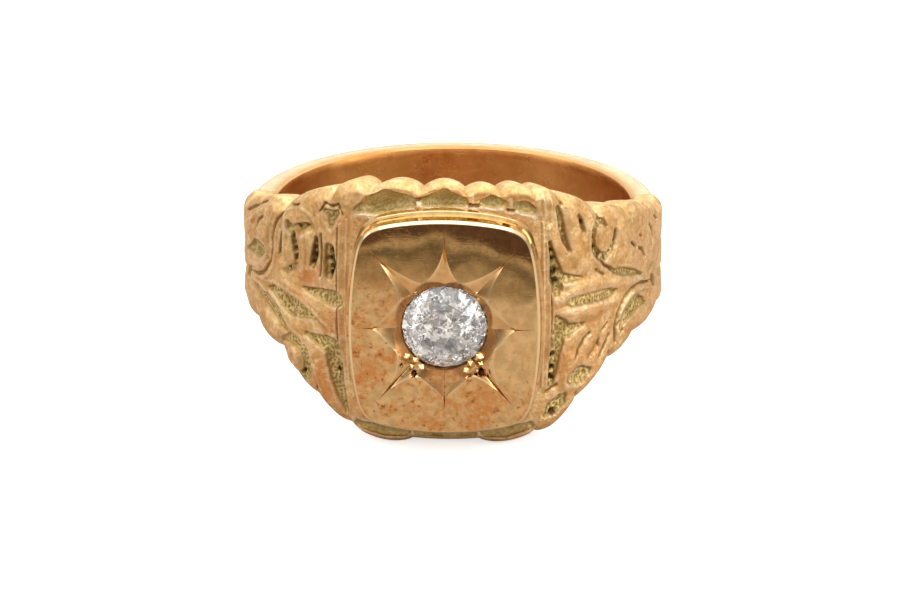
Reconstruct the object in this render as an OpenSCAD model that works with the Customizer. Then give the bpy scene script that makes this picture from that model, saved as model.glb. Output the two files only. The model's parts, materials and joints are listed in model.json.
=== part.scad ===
// A gentleman's gold ring. A plain shank widens into two carved shoulders, which hold a
// cushion-shaped table plate with a star cut round one bead-set brilliant.
// Construction frame: the finger axis is Z and the head faces -Y. Places on the band are
// given by the angle round the finger, 0 at the head and positive to the right, and by the
// axial place along Z. The finished ring leans back by the angle at which it lies on its side.

/* [Finger hole and shank] */
// Inner diameter of the ring
finger_d = 18.9; // [18.6:0.1:19.2]
// Thickness of the plain shank
shank_t = 1.48; // [1.3:0.02:1.6]
// Width of the plain shank
shank_w = 5.1; // [4.8:0.1:5.3]
// Rounding of the shank's outer edges
shank_edge = 0.3; // [0.1:0.05:0.5]
// Angle from the head to where each carved shoulder ends
shoulder_end = 94; // [90:1:97]

/* [Table plate] */
// Width of the plate across its middle
plate_w = 9.96; // [9.6:0.02:10.2]
// Height of the plate along the finger, at its middle
plate_h = 11.66; // [11.5:0.02:11.8]
// Place of the plate's middle along the finger
plate_mid = -0.25; // [-0.3:0.05:0]
// Radius of the bowed left and right sides
side_bow = 21; // [18:1:30]
// Radius of the bowed top and bottom sides
end_bow = 15.5; // [14:0.5:20]
// Distance from the finger axis to the top of the plate
plate_top = 12.8; // [12.6:0.05:13]
// Drop of the plate's dome from its middle to its sides
dome_drop = 0.26; // [0.1:0.02:0.4]
// Width of the bevel round the plate
bevel_w = 0.3; // [0.2:0.02:0.4]
// Height of the bevel round the plate
bevel_h = 0.24; // [0.15:0.01:0.35]
// Height of the upright wall under the bevel
wall_h = 0.9; // [0.7:0.05:1]
// Width of the thin ledge at the foot of the wall
ledge_w = 0.14; // [0.08:0.02:0.2]

/* [Star and stone] */
// Diameter of the stone
stone_d = 4.37; // [4.2:0.01:4.45]
// Distance from the finger axis to the middle of the stone's girdle
girdle_level = 12.22; // [12.1:0.02:12.3]
// Clearance between the stone and its seat
seat_gap = 0.06; // [0.04:0.01:0.1]
// Radius of the light hole under the stone
light_hole_r = 0.85; // [0.75:0.05:0.95]
// Radius of each grain bead that holds the stone
bead_r = 0.3; // [0.24:0.01:0.32]

/* [Carving] */
// Depth of the matted pockets between the leaves
pocket_depth = 0.36; // [0.2:0.02:0.4]
// Width of a pocket's sloping wall
pocket_wall = 0.2; // [0.15:0.01:0.3]
// Rounding of the band's carved edges
rim_round = 0.45; // [0.3:0.05:0.55]

/* [Hidden] */

GOLD = [0.83, 0.62, 0.36];
CLEAR = [0.86, 0.87, 0.9];
finger_r = finger_d / 2;
shank_r = finger_r + shank_t;
core_r = finger_r - 0.8;  // the band's inside before the finger hole is bored
head_plane = 10.9;        // distance from the finger axis to the flat behind the plate
head_angle = 22;          // how far round the flat runs
mm_per_degree = 0.2007;   // along the band's outside, at a radius of 11.5

// Outside radius of the shoulder, named by angle from the head and radius
SHOULDER = [[head_angle, 11.74], [28, 11.8], [35, 11.74], [50, 11.5], [70, 11.17], [97, 11.02]];

// The scalloped edges, a row for each notch: angle, axial place, bulge of the scallop after it
TOP_EDGE = [
    [-97, 2.75, 0.15], [-79, 3.05, 0.35], [-65, 3.95, 0.45], [-48.5, 4.6, 0.4], [-30, 6.3, 0.5],
    [-19.8, 6.52, 0.48], [-6.7, 6.58, 0.5], [5.7, 6.58, 0.3], [14.8, 6.55, 0.3], [23.3, 6.5, 0.28],
    [30, 6.1, 0.3], [42, 4.95, 0.22], [55, 4.35, 0.25], [67, 3.9, 0.3], [80, 3.0, 0.15], [97, 2.75, 0]];
BOTTOM_EDGE = [
    [-97, -2.75, -0.15], [-78, -2.5, -0.3], [-64.6, -2.55, -0.45], [-49.4, -3.1, -0.45],
    [-35.7, -5.05, -0.3], [-25.4, -6.2, -0.51], [-9.4, -6.98, -0.1], [9.4, -6.98, -0.39],
    [23.6, -6.5, -0.5], [35.6, -5.15, -0.25], [47.3, -3.45, -0.35], [58.8, -2.7, -0.3],
    [77, -2.5, -0.15], [97, -2.75, 0]];

// Matted pockets cut between the leaves. Each is a stroke whose rows give angle, axial
// place and half width.
LEFT_POCKETS = [
    [[-58, -0.15, 0.06], [-50, -0.17, 0.33], [-45, -0.38, 0.42], [-40, -0.6, 0.38], [-36, -0.85, 0.1]],
    [[-42, 0.75, 0.06], [-36, 0.6, 0.25], [-31, 0.45, 0.4], [-28.3, 0.4, 0.45]],
    [[-38, -1.75, 0.06], [-30, -2.2, 0.5], [-28.3, -3, 0.45], [-27, -4, 0.3], [-25.8, -5.4, 0.1]],
    [[-48, -2.3, 0.1], [-44.5, -2.15, 0.25], [-40, -2.45, 0.35], [-38, -3.2, 0.4], [-39, -4.1, 0.3],
        [-42, -4.3, 0.1]],
    [[-71, -0.75, 0.06], [-64, -0.7, 0.22], [-57, -0.85, 0.3], [-51, -1.25, 0.22], [-47, -1.75, 0.06]],
    [[-77, 0.9, 0.1], [-70, 1.2, 0.35], [-64, 1.45, 0.48], [-58, 1.7, 0.15]],
    [[-48.5, 3.3, 0.1], [-49.5, 2, 0.14]],
    [[-44.5, 3.8, 0.1], [-42, 2.5, 0.2], [-41.8, 2, 0.1]],
    [[-34.8, 3.7, 0.1], [-35.5, 2.5, 0.22], [-36.3, 2, 0.1]],
    [[-31, 3.2, 0.1], [-30, 2, 0.22], [-29.6, 1.3, 0.1]],
    [[-31, 5.4, 0.3], [-30.5, 4.9, 0.32], [-30, 4.1, 0.08]]];
RIGHT_POCKETS = [
    [[26.8, 4, 0.08], [28.2, 2.9, 0.25], [29.4, 2, 0.48], [29.4, 1.4, 0.45], [28.9, 0.8, 0.12]],
    [[30, 1.7, 0.35], [37, 1.55, 0.06]],
    [[31, 0.2, 0.1], [36, 0.32, 0.26], [45, 0.3, 0.26], [50, 0.2, 0.1]],
    [[45, 1.65, 0.06], [50, 1.25, 0.25], [55, 0.98, 0.22], [63, 0.3, 0.06]],
    [[44.5, 4.2, 0.1], [41.3, 4, 0.15], [40.5, 3.3, 0.14], [42.5, 2.4, 0.17], [46, 2.2, 0.16],
        [48.5, 3.2, 0.1]],
    [[29.5, 6, 0.1], [30.6, 4.8, 0.2], [32.3, 3.6, 0.08]],
    [[35.2, 5, 0.1], [36.5, 4.6, 0.15], [37.2, 4, 0.08]],
    [[29.6, -0.3, 0.1], [30, -1.2, 0.55], [28.6, -3, 0.32], [27.6, -4.1, 0.3]],
    [[31, -1.2, 0.4], [38.5, -1.05, 0.06]],
    [[34, -3.75, 0.25], [37, -3.8, 0.48], [39.5, -3.7, 0.25]],
    [[26, -5.75, 0.12], [29, -5.3, 0.38], [31.5, -4.8, 0.12]],
    [[49, -2.6, 0.08], [49.6, -1.8, 0.14], [52, -0.9, 0.14], [56, -0.3, 0.13], [61, 0, 0.12],
        [71, -0.3, 0.08]],
    [[52.5, -2, 0.1], [54.5, -1.5, 0.35], [60, -1.15, 0.42], [66, -1.5, 0.1]],
    [[60.5, 2.1, 0.08], [63.5, 1.8, 0.14], [65.5, 1.2, 0.08]],
    [[70, 2.9, 0.08], [73, 2.2, 0.15], [71.5, 1.4, 0.08]]];
// The pockets between the plate and the head's rim, and the lens pockets at the shoulders'
// ends, which both shoulders share
RIM_POCKETS = [
    [[-23, 6, 0.28], [-16, 6.2, 0.42], [-9, 6.08, 0.3]],
    [[-5.6, 6.1, 0.3], [0, 6.25, 0.4], [5.2, 6.1, 0.28]],
    [[8.4, 6.08, 0.26], [11.5, 6.15, 0.32], [15.4, 6.05, 0.26]],
    [[17.6, 6, 0.24], [20.4, 6.08, 0.3], [22.8, 5.95, 0.26]],
    [[-23, -6.1, 0.16], [-16, -6.5, 0.26], [-10.5, -6.6, 0.18]],
    [[-7.6, -6.62, 0.16], [0, -6.68, 0.2], [7.6, -6.62, 0.16]],
    [[10.5, -6.6, 0.18], [16, -6.5, 0.26], [22, -6.1, 0.18]]];
END_POCKETS = [
    [[77, 0.3, 0.06], [82, 0.7, 0.28], [88, 0.85, 0.3], [92, 0.8, 0.08]],
    [[77, -0.4, 0.06], [82, -0.8, 0.28], [88, -0.95, 0.3], [92, -0.9, 0.08]]];

// Ribs, leaves and scroll balls that stand above the shoulders, as strokes with the same rows
LEAVES = [
    [[-75, 0, 0.3], [-66, 0.05, 0.35], [-57, 0.1, 0.3], [-47, -1.4, 0.35], [-38, -2.6, 0.4],
        [-31, -4.4, 0.5], [-27, -5.8, 0.3]],
    [[-57, 0.1, 0.2], [-46, 0.5, 0.3], [-38, 0.1, 0.35], [-29, -1.2, 0.5]],
    [[-43, -3.2, 0.75], [-41, -3.3, 0.7]],
    [[-63, 2.5, 0.45], [-57, 3.4, 0.75], [-51, 4.2, 0.5]],
    [[-60, -2, 0.4], [-52, -2.2, 0.5]],
    [[-46, 4.6, 0.3], [-47, 2.4, 0.4]],
    [[-39.5, 5, 0.4], [-38.8, 2, 0.42]],
    [[-33, 3.9, 0.2], [-33, 1.5, 0.3]],
    [[29, 0.2, 0.3], [38, 0.9, 0.4], [46, 0.75, 0.35], [60, 0.25, 0.2], [74, 0, 0.3]],
    [[30, -0.1, 0.25], [40, -0.4, 0.35], [52, -0.15, 0.2]],
    [[44.5, 3.3, 0.6], [45, 3.1, 0.6]],
    [[33, 5.8, 0.4], [34.5, 3.2, 0.5], [37, 2.2, 0.4]],
    [[39, 5, 0.35], [38.4, 3.4, 0.4]],
    [[52, 3.5, 0.5], [58, 1.8, 0.5]],
    [[34, -2, 0.35], [41, -1.7, 0.4], [47, -0.9, 0.3]],
    [[41, -4.4, 0.3], [44.5, -2.6, 0.35]],
    [[32, -4.3, 0.35], [33.5, -2.8, 0.35]]];
leaf_height = 0.14;

function lookup_x(x, table) =
    let (last = len(table) - 2,
         hit = [for (i = [0:last]) if (x <= table[i + 1].x || i == last) i][0],
         low = table[hit],
         high = table[hit + 1])
    low.y + (high.y - low.y) * (x - low.x) / (high.x - low.x);

// Edge of the band at an angle: straight from notch to notch, with a round bulge on each run
function edge(angle, table) =
    let (last = len(table) - 2,
         i = [for (i = [0:last]) if (angle <= table[i + 1].x || i == last) i][0],
         run = (angle - table[i].x) / (table[i + 1].x - table[i].x))
    table[i].y + (table[i + 1].y - table[i].y) * run + table[i].z * pow(sin(180 * run), 0.7);

function smooth(t) = let (c = max(0, min(1, t))) c * c * (3 - 2 * c);

function base_radius(angle) =
    abs(angle) < head_angle ? head_plane / cos(angle) : lookup_x(abs(angle), SHOULDER);

// Strokes as separate runs, in millimetres along the band: start, end, both half widths
function runs_of(strokes) = [
    for (stroke = strokes, i = [0:len(stroke) - 2])
        let (a = stroke[i], b = stroke[i + 1])
        [[a.x * mm_per_degree, a.y], [b.x * mm_per_degree, b.y], a.z, b.z]];
POCKET_RUNS = runs_of(concat(LEFT_POCKETS, RIGHT_POCKETS, RIM_POCKETS, END_POCKETS,
    [for (stroke = END_POCKETS) [for (p = stroke) [-p.x, p.y, p.z]]]));
LEAF_RUNS = runs_of(LEAVES);
near_run = 0.6;  // how far beyond its half width a run can matter

// How far inside each nearby run a place lies, positive inside
function insides(place, runs) = [
    for (run = runs)
        let (a = run[0],
             along = run[1] - a,
             wide = max(run[2], run[3]) + near_run)
        if (place.x > min(a.x, run[1].x) - wide && place.x < max(a.x, run[1].x) + wide
            && place.y > min(a.y, run[1].y) - wide && place.y < max(a.y, run[1].y) + wide)
            let (t = max(0, min(1, (place - a) * along / (along * along))))
            [run[2] + (run[3] - run[2]) * t - norm(place - a - along * t),
             run[2] + (run[3] - run[2]) * t]];

// Height of the carving above the plain surface at a place on the band
function carving(angle, axial) =
    let (place = [angle * mm_per_degree, axial],
         cuts = insides(place, POCKET_RUNS),
         cut = len(cuts) > 0 ? max([for (c = cuts) c[0]]) : -near_run,
         leaves = insides(place, LEAF_RUNS),
         lift = len(leaves) > 0 ? max([for (l = leaves) smooth(0.5 + l[0] / l[1] / 1.6)]) : 0)
    leaf_height * lift * smooth(-cut / pocket_wall + 0.3)
        - pocket_depth * smooth(cut / pocket_wall + 0.5);

// One angle's section through the carved band: radius and axial place, from the bottom of
// its core, over the outside, to the top of its core
EDGE_ROWS = [0.08, 0.24, 0.46];  // steps of the first rows from the edge
inner_rows = 29;                 // rows between them
rim_inside = 0.3;                // where the rim starts to fall, outside the finger hole
rim_fall = 0.14;                 // how far it has fallen there
rim_back = rim_round + 0.1;      // how far the rim's crest stands back from the outside
crown_reach = 0.75;              // how far in from the edge the outside is rounded
function section(angle) =
    let (low = edge(angle, BOTTOM_EDGE),
         high = edge(angle, TOP_EDGE),
         radius = base_radius(angle),
         first = EDGE_ROWS[2],
         axials = concat(
             [for (step = EDGE_ROWS) low + step],
             [for (i = [1:inner_rows]) low + first + (high - low - 2 * first) * i / (inner_rows + 1)],
             [for (i = [2:-1:0]) high - EDGE_ROWS[i]]))
    concat(
        [[core_r, low + rim_round], [finger_r + rim_inside, low + rim_fall], [radius - rim_back, low]],
        [for (a = axials)
            let (in = min(a - low, high - a) / crown_reach,
                 fall = rim_round * pow(1 - min(1, in), 2))
            [radius - fall + carving(angle, a) * smooth(in * 1.6), a]],
        [[radius - rim_back, high], [finger_r + rim_inside, high - rim_fall],
            [core_r, high - rim_round]]);

// Angles of the sections: wide apart under the plate, close together over the carving
head_step = 3.25;
carved_step = 1.25;
head_half = 26;
COLUMNS = concat(
    [for (i = [0:(shoulder_end - head_half) / carved_step]) -shoulder_end
        + (shoulder_end - head_half) * i / floor((shoulder_end - head_half) / carved_step)],
    [for (angle = [-head_half + head_step:head_step:head_half - head_step / 2]) angle],
    [for (i = [0:(shoulder_end - head_half) / carved_step]) head_half
        + (shoulder_end - head_half) * i / floor((shoulder_end - head_half) / carved_step)]);

// A closed skin through equal sections, each a ring of points. A fan round its middle
// closes each end.
module skin(sections) {
    ring = len(sections[0]);
    last = len(sections) - 1;
    middles = [for (s = [sections[0], sections[last]]) [for (i = [0:ring - 1]) 1] * s / ring];
    first_middle = ring * (last + 1);
    polyhedron(
        points = concat([for (s = sections, p = s) p], middles),
        faces = [
            for (j = [0:ring - 1])
                let (k = (j + 1) % ring)
                each concat(
                    [[first_middle, j, k], [first_middle + 1, last * ring + k, last * ring + j]],
                    [for (i = [0:last - 1]) [i * ring + j, (i + 1) * ring + j, (i + 1) * ring + k]],
                    [for (i = [0:last - 1]) [i * ring + j, (i + 1) * ring + k, i * ring + k]])],
        convexity = 8);
}

// The sections run from right to left, so that their faces look outwards
module carved_front() {
    skin([for (angle = -COLUMNS)
        [for (p = section(angle)) [p.x * sin(angle), -p.x * cos(angle), p.y]]]);
}

// The plain back of the ring, in one turned piece
module shank() {
    buried = 2;  // degrees that the shank runs into each shoulder
    half = shank_w / 2;
    rotate([0, 0, shoulder_end - buried - 90])
        rotate_extrude(angle = 360 - 2 * (shoulder_end - buried), $fn = 96)
            polygon([[core_r, -half], [shank_r - shank_edge, -half], [shank_r, shank_edge - half],
                [shank_r, half - shank_edge], [shank_r - shank_edge, half], [core_r, half]]);
}

// Distance from the plate's middle to its outline in a direction, for bowed sides whose
// corners run together softly
corner_power = 16;
function bowed(direction, reach, bow) =
    let (back = bow - reach)
    sqrt(pow(bow, 2) - pow(back * sin(direction), 2)) - back * abs(cos(direction));
function plate_reach(direction) =
    let (across = bowed(direction, plate_w / 2, side_bow),
         along = bowed(90 - direction, plate_h / 2, end_bow))
    pow(pow(across, -corner_power) + pow(along, -corner_power), -1 / corner_power);

// Rings of the plate's wall and bevel, from its foot inside the band up to the dome's edge, a
// row for each: how far in from the outline, and the distance from the finger axis
plate_foot = 10;
wall_top = plate_top - dome_drop - bevel_h;
PLATE_RINGS = [
    [-ledge_w, plate_foot], [-ledge_w, wall_top - wall_h], [0.02, wall_top - wall_h + 0.06],
    [0.06, wall_top], [bevel_w, plate_top - dome_drop]];
plate_sides = 72;
dome_rings = 4;
function plate_ring(inset, level) = [
    for (i = [0:plate_sides - 1])
        let (direction = 360 * i / plate_sides, reach = plate_reach(direction) - inset)
        [reach * cos(direction), -level, reach * sin(direction)]];
function dome_ring(share) = [
    for (i = [0:plate_sides - 1])
        let (direction = 360 * i / plate_sides, reach = (plate_reach(direction) - bevel_w) * share)
        [reach * cos(direction), dome_drop * pow(share, 2) - plate_top, reach * sin(direction)]];

module plate_blank() {
    skin(concat(
        [for (ring = PLATE_RINGS) plate_ring(ring[0], ring[1])],
        [for (i = [1:dome_rings]) dome_ring(1 - i / (dome_rings + 0.4))]));
}

// Rays of the star, a row for each: direction, reach of the tip, depth beside the stone
RAYS = [
    [0, 4.67, 0.5], [49, 5.5, 0.56], [90, 5.3, 0.6], [132.5, 6, 0.56],
    [180, 4.63, 0.5], [229, 5.36, 0.54], [270, 4.72, 0.5], [310.2, 5.65, 0.54]];
// Where neighbouring rays meet, a row for each: direction and reach
VALLEYS = [
    [24, 2.8], [68, 2.85], [112, 2.85], [156, 2.8], [204, 2.75], [249, 2.8], [291, 2.8], [336, 2.75]];
ray_root = 1.9;     // the star's floor starts here, inside the stone's seat
valley_floor = 0.4; // depth of the ridges between rays beside the stone

// Level of the plate's dome under its top at a direction and reach
function dome_fall(direction, reach) = -dome_drop * pow(reach / (plate_reach(direction) - bevel_w), 2);
function polar(direction, reach, level) = [reach * cos(direction), reach * sin(direction), level];

module star_cut() {
    count = len(RAYS);
    above = 1;    // how far the cutter reaches out of the plate
    skim = 0.01;  // the outline stands this far over the dome, so that its points stay sharp
    tips = [for (row = RAYS) polar(row[0], row[1], dome_fall(row[0], row[1]) + skim)];
    valleys = [for (row = VALLEYS) polar(row[0], row[1], dome_fall(row[0], row[1]) + skim)];
    floors = [for (row = RAYS) polar(row[0], ray_root, -row[2])];
    ridges = [for (row = VALLEYS) polar(row[0], ray_root, -valley_floor)];
    lift = [0, 0, above];
    points = concat(tips, valleys, floors, ridges, [for (p = tips) p + lift],
        [for (p = valleys) p + lift], [[0, 0, -valley_floor], [0, 0, above]]);
    function at(kind, i) = kind * count + (i + count) % count;
    translate([0, -plate_top, 0])
        rotate([90, 0, 0])
            polyhedron(points, concat(
                [for (i = [0:count - 1]) [at(0, i), at(1, i), at(2, i)]],
                [for (i = [0:count - 1]) [at(1, i), at(3, i), at(2, i)]],
                [for (i = [0:count - 1]) [at(1, i), at(2, i + 1), at(3, i)]],
                [for (i = [0:count - 1]) [at(1, i), at(0, i + 1), at(2, i + 1)]],
                [for (i = [0:count - 1]) [at(2, i), at(3, i), 6 * count]],
                [for (i = [0:count - 1]) [at(3, i), at(2, i + 1), 6 * count]],
                [for (i = [0:count - 1]) [at(0, i), at(4, i), at(5, i), at(1, i)]],
                [for (i = [0:count - 1]) [at(1, i), at(5, i), at(4, i + 1), at(0, i + 1)]],
                [for (i = [0:count - 1]) [at(4, i), 6 * count + 1, at(5, i)]],
                [for (i = [0:count - 1]) [at(5, i), 6 * count + 1, at(4, i + 1)]]));
}

// The stone's sizes, all from its diameter
stone_r = stone_d / 2;
table_r = stone_r * 0.57;
crown_h = stone_d * 0.15;
pavilion_h = stone_d * 0.42;
girdle_h = 0.1;
seat_r = stone_r + seat_gap;

// The seat holds the girdle in a short cylinder and runs down in a cone to the light hole
module stone_seat() {
    slope = pavilion_h / stone_r;
    depth = (seat_r - light_hole_r) * slope;
    rim = girdle_level - girdle_h / 2 - seat_gap;
    rotate([90, 0, 0]) {
        translate([0, 0, rim]) cylinder(r = seat_r, h = 2, $fn = 64);
        translate([0, 0, rim - depth]) cylinder(r1 = light_hole_r, r2 = seat_r, h = depth, $fn = 64);
        light_hole();
    }
}

// From inside the finger hole up into the seat's cone
module light_hole() {
    start = finger_r - 1;
    translate([0, 0, start]) cylinder(r = light_hole_r, h = 3, $fn = 32);
}

// Beads at the roots of the four slanting rays, which lean over the stone's girdle
module grain_beads() {
    bead_out = seat_r + bead_r * 0.75;
    bead_level = girdle_level + girdle_h / 2 + bead_r * 0.77;
    for (i = [1:2:7])
        rotate([90, 0, 0])
            translate(polar(RAYS[i][0], bead_out, bead_level)) sphere(r = bead_r, $fn = 24);
}

module table_plate() {
    translate([0, 0, plate_mid]) {
        difference() {
            plate_blank();
            star_cut();
            stone_seat();
        }
        grain_beads();
    }
}

// Angle at which the ring rests: on the two lower scallops beside the middle one, and on the
// back of the shank
foot_angle = 15.3;
foot = [(finger_r + rim_inside) * cos(foot_angle), edge(foot_angle, BOTTOM_EDGE) + rim_fall];
heel = [shank_edge - shank_r, -shank_w / 2];
lean = atan2(heel.y - foot.y, foot.x - heel.x);
floor_drop = foot.y * cos(lean) + foot.x * sin(lean);
front = (plate_top - dome_drop) * cos(lean) + (plate_mid + plate_h / 2) * sin(lean);
back = shank_r * cos(lean) + (shank_w / 2 - shank_edge) * sin(lean);

// The ring as it lies, with the origin on the surface under the middle of its box
module at_rest() {
    translate([0, (front - back) / 2, -floor_drop]) rotate([-lean, 0, 0]) children();
}

module gold_ring() {
    color(GOLD)
        at_rest()
            difference() {
                union() {
                    carved_front();
                    shank();
                    table_plate();
                }
                // The finger hole, turned so that its seam lies in the plain shank
                rotate([0, 0, 41]) cylinder(r = finger_r, h = 30, center = true, $fn = 128);
                translate([0, 0, plate_mid]) rotate([90, 0, 0]) light_hole();
            }
}

module diamond() {
    color(CLEAR)
        at_rest()
            translate([0, 0, plate_mid])
                rotate([90, 0, 0])
                    translate([0, 0, girdle_level]) brilliant();
}

// A round brilliant: eight-sided table, star, kite and half facets above the girdle, mains
// and halves below it
module brilliant() {
    mid_r = (stone_r + table_r) / 2;
    mid_h = girdle_h / 2 + crown_h * 0.52;
    function ring_at(r, z, count, turn) =
        [for (i = [0:count - 1]) [r * cos(turn + 360 * i / count), r * sin(turn + 360 * i / count), z]];
    points = concat(
        ring_at(table_r, girdle_h / 2 + crown_h, 8, 0),
        ring_at(mid_r, mid_h, 8, 22.5),
        ring_at(stone_r, girdle_h / 2, 16, 0),
        ring_at(stone_r, -girdle_h / 2, 16, 0),
        ring_at(stone_r * 0.32, -girdle_h / 2 - pavilion_h * 0.68, 8, 22.5),
        [[0, 0, -girdle_h / 2 - pavilion_h]]);
    polyhedron(points, concat(
        [[for (i = [7:-1:0]) i]],
        [for (i = [0:7]) [i, (i + 1) % 8, 8 + i]],
        [for (i = [0:7]) [i, 8 + i, 16 + 2 * i]],
        [for (i = [0:7]) [i, 16 + 2 * i, 8 + (i + 7) % 8]],
        [for (i = [0:7]) [8 + i, 17 + 2 * i, 16 + 2 * i]],
        [for (i = [0:7]) [8 + i, 16 + (2 * i + 2) % 16, 17 + 2 * i]],
        [for (i = [0:15]) [16 + i, 16 + (i + 1) % 16, 32 + (i + 1) % 16, 32 + i]],
        [for (i = [0:7]) [32 + 2 * i, 33 + 2 * i, 48 + i]],
        [for (i = [0:7]) [33 + 2 * i, 32 + (2 * i + 2) % 16, 48 + i]],
        [for (i = [0:7]) [32 + 2 * i, 48 + i, 56]],
        [for (i = [0:7]) [32 + 2 * i, 56, 48 + (i + 7) % 8]]));
}

gold_ring();
diamond();
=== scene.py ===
"""Looks of a gentleman's gold ring: carved band, star-cut table plate, set brilliant, studio.

Places on the ring are in millimetres in the ring's own frame: to the right of the head, out of
the head, and along the finger. Places on the band are given by the angle round the finger, 0 at
the head and positive to the right, and by the place along the finger.
"""

import json
import math

import bmesh
import bpy
import numpy as np
from mathutils import Matrix, Vector


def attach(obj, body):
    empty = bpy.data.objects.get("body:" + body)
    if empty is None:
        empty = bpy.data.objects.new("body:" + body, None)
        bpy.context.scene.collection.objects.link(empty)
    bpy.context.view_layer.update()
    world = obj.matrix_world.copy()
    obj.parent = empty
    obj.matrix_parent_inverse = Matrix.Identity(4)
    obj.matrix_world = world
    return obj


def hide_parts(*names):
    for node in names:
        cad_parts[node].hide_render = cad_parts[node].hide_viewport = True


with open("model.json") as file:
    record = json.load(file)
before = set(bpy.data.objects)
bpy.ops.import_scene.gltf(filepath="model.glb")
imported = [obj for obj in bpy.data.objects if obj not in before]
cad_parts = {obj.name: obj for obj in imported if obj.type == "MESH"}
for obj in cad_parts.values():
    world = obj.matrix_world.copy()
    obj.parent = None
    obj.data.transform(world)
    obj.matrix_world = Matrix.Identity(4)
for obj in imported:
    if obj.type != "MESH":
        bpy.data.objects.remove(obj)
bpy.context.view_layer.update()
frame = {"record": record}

bl_info = {
    "name": "Signet Ring with Star-set Stone",
    "version": (1, 0, 0),
    "blender": (4, 5, 0),
    "location": "View3D > Sidebar > Ring",
    "description": "Builds a carved gold ring with a star-cut plate and a brilliant",
    "category": "Object",
}

# The finger hole's mount gives the ring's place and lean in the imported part's frame
FINGER_BORE = frame["record"]["mounts"][0]
CENTRE = np.array(FINGER_BORE["pos_m"])
ALONG = np.array(FINGER_BORE["axis"])
OUT = np.array([0, -ALONG[2], ALONG[1]])
RIGHT = np.array([1.0, 0, 0])
MM = 0.001

# Sizes that the solids also have, in millimetres and degrees. The band: finger hole, plain shank
# with half its width, end of the shoulders, flat under the plate with its half angle
FINGER_R = FINGER_BORE["dims"]["r_mm"]
SHANK_R = 10.93
SHANK_HALF = 2.55
SHOULDER_END = 93.4
HEAD_PLANE = 10.9
HEAD_ANGLE = 22
# The table plate, whose sides and ends are bowed. The higher the power, the sharper its corners.
PLATE_W = 9.96
PLATE_H = 11.66
PLATE_MID = -0.25
PLATE_TOP = 12.8
SIDE_BOW = 21
END_BOW = 15.5
CORNER_POWER = 16
LEDGE_W = 0.14
WALL_H = 0.9
BEVEL_H = 0.24
# The stone, its seat and the light hole under it
STONE_R = 2.185
SEAT_R = 2.245
GIRDLE_LEVEL = 12.22
GIRDLE_H = 0.1
LIGHT_HOLE_R = 0.85

# A degree round the shoulders, 11.5 mm from the finger's axis
MM_PER_DEGREE = 0.2007
# Outside radius of the shoulder: angle from the head, radius
SHOULDER = [(22, 11.74), (28, 11.8), (35, 11.74), (50, 11.5), (70, 11.17), (97, 11.02), (180, 11.02)]

# The scalloped edges, a row for each notch: angle, place along the finger, bulge after it
TOP_EDGE = [
    (-97, 2.75, 0.15), (-79, 3.05, 0.35), (-65, 3.95, 0.45), (-48.5, 4.6, 0.4), (-30, 6.3, 0.5),
    (-19.8, 6.52, 0.48), (-6.7, 6.58, 0.5), (5.7, 6.58, 0.3), (14.8, 6.55, 0.3), (23.3, 6.5, 0.28),
    (30, 6.1, 0.3), (42, 4.95, 0.22), (55, 4.35, 0.25), (67, 3.9, 0.3), (80, 3.0, 0.15), (97, 2.75, 0)]
BOTTOM_EDGE = [
    (-97, -2.75, -0.15), (-78, -2.5, -0.3), (-64.6, -2.55, -0.45), (-49.4, -3.1, -0.45),
    (-35.7, -5.05, -0.3), (-25.4, -6.2, -0.51), (-9.4, -6.98, -0.1), (9.4, -6.98, -0.39),
    (23.6, -6.5, -0.5), (35.6, -5.15, -0.25), (47.3, -3.45, -0.35), (58.8, -2.7, -0.3),
    (77, -2.5, -0.15), (97, -2.75, 0)]

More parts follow.
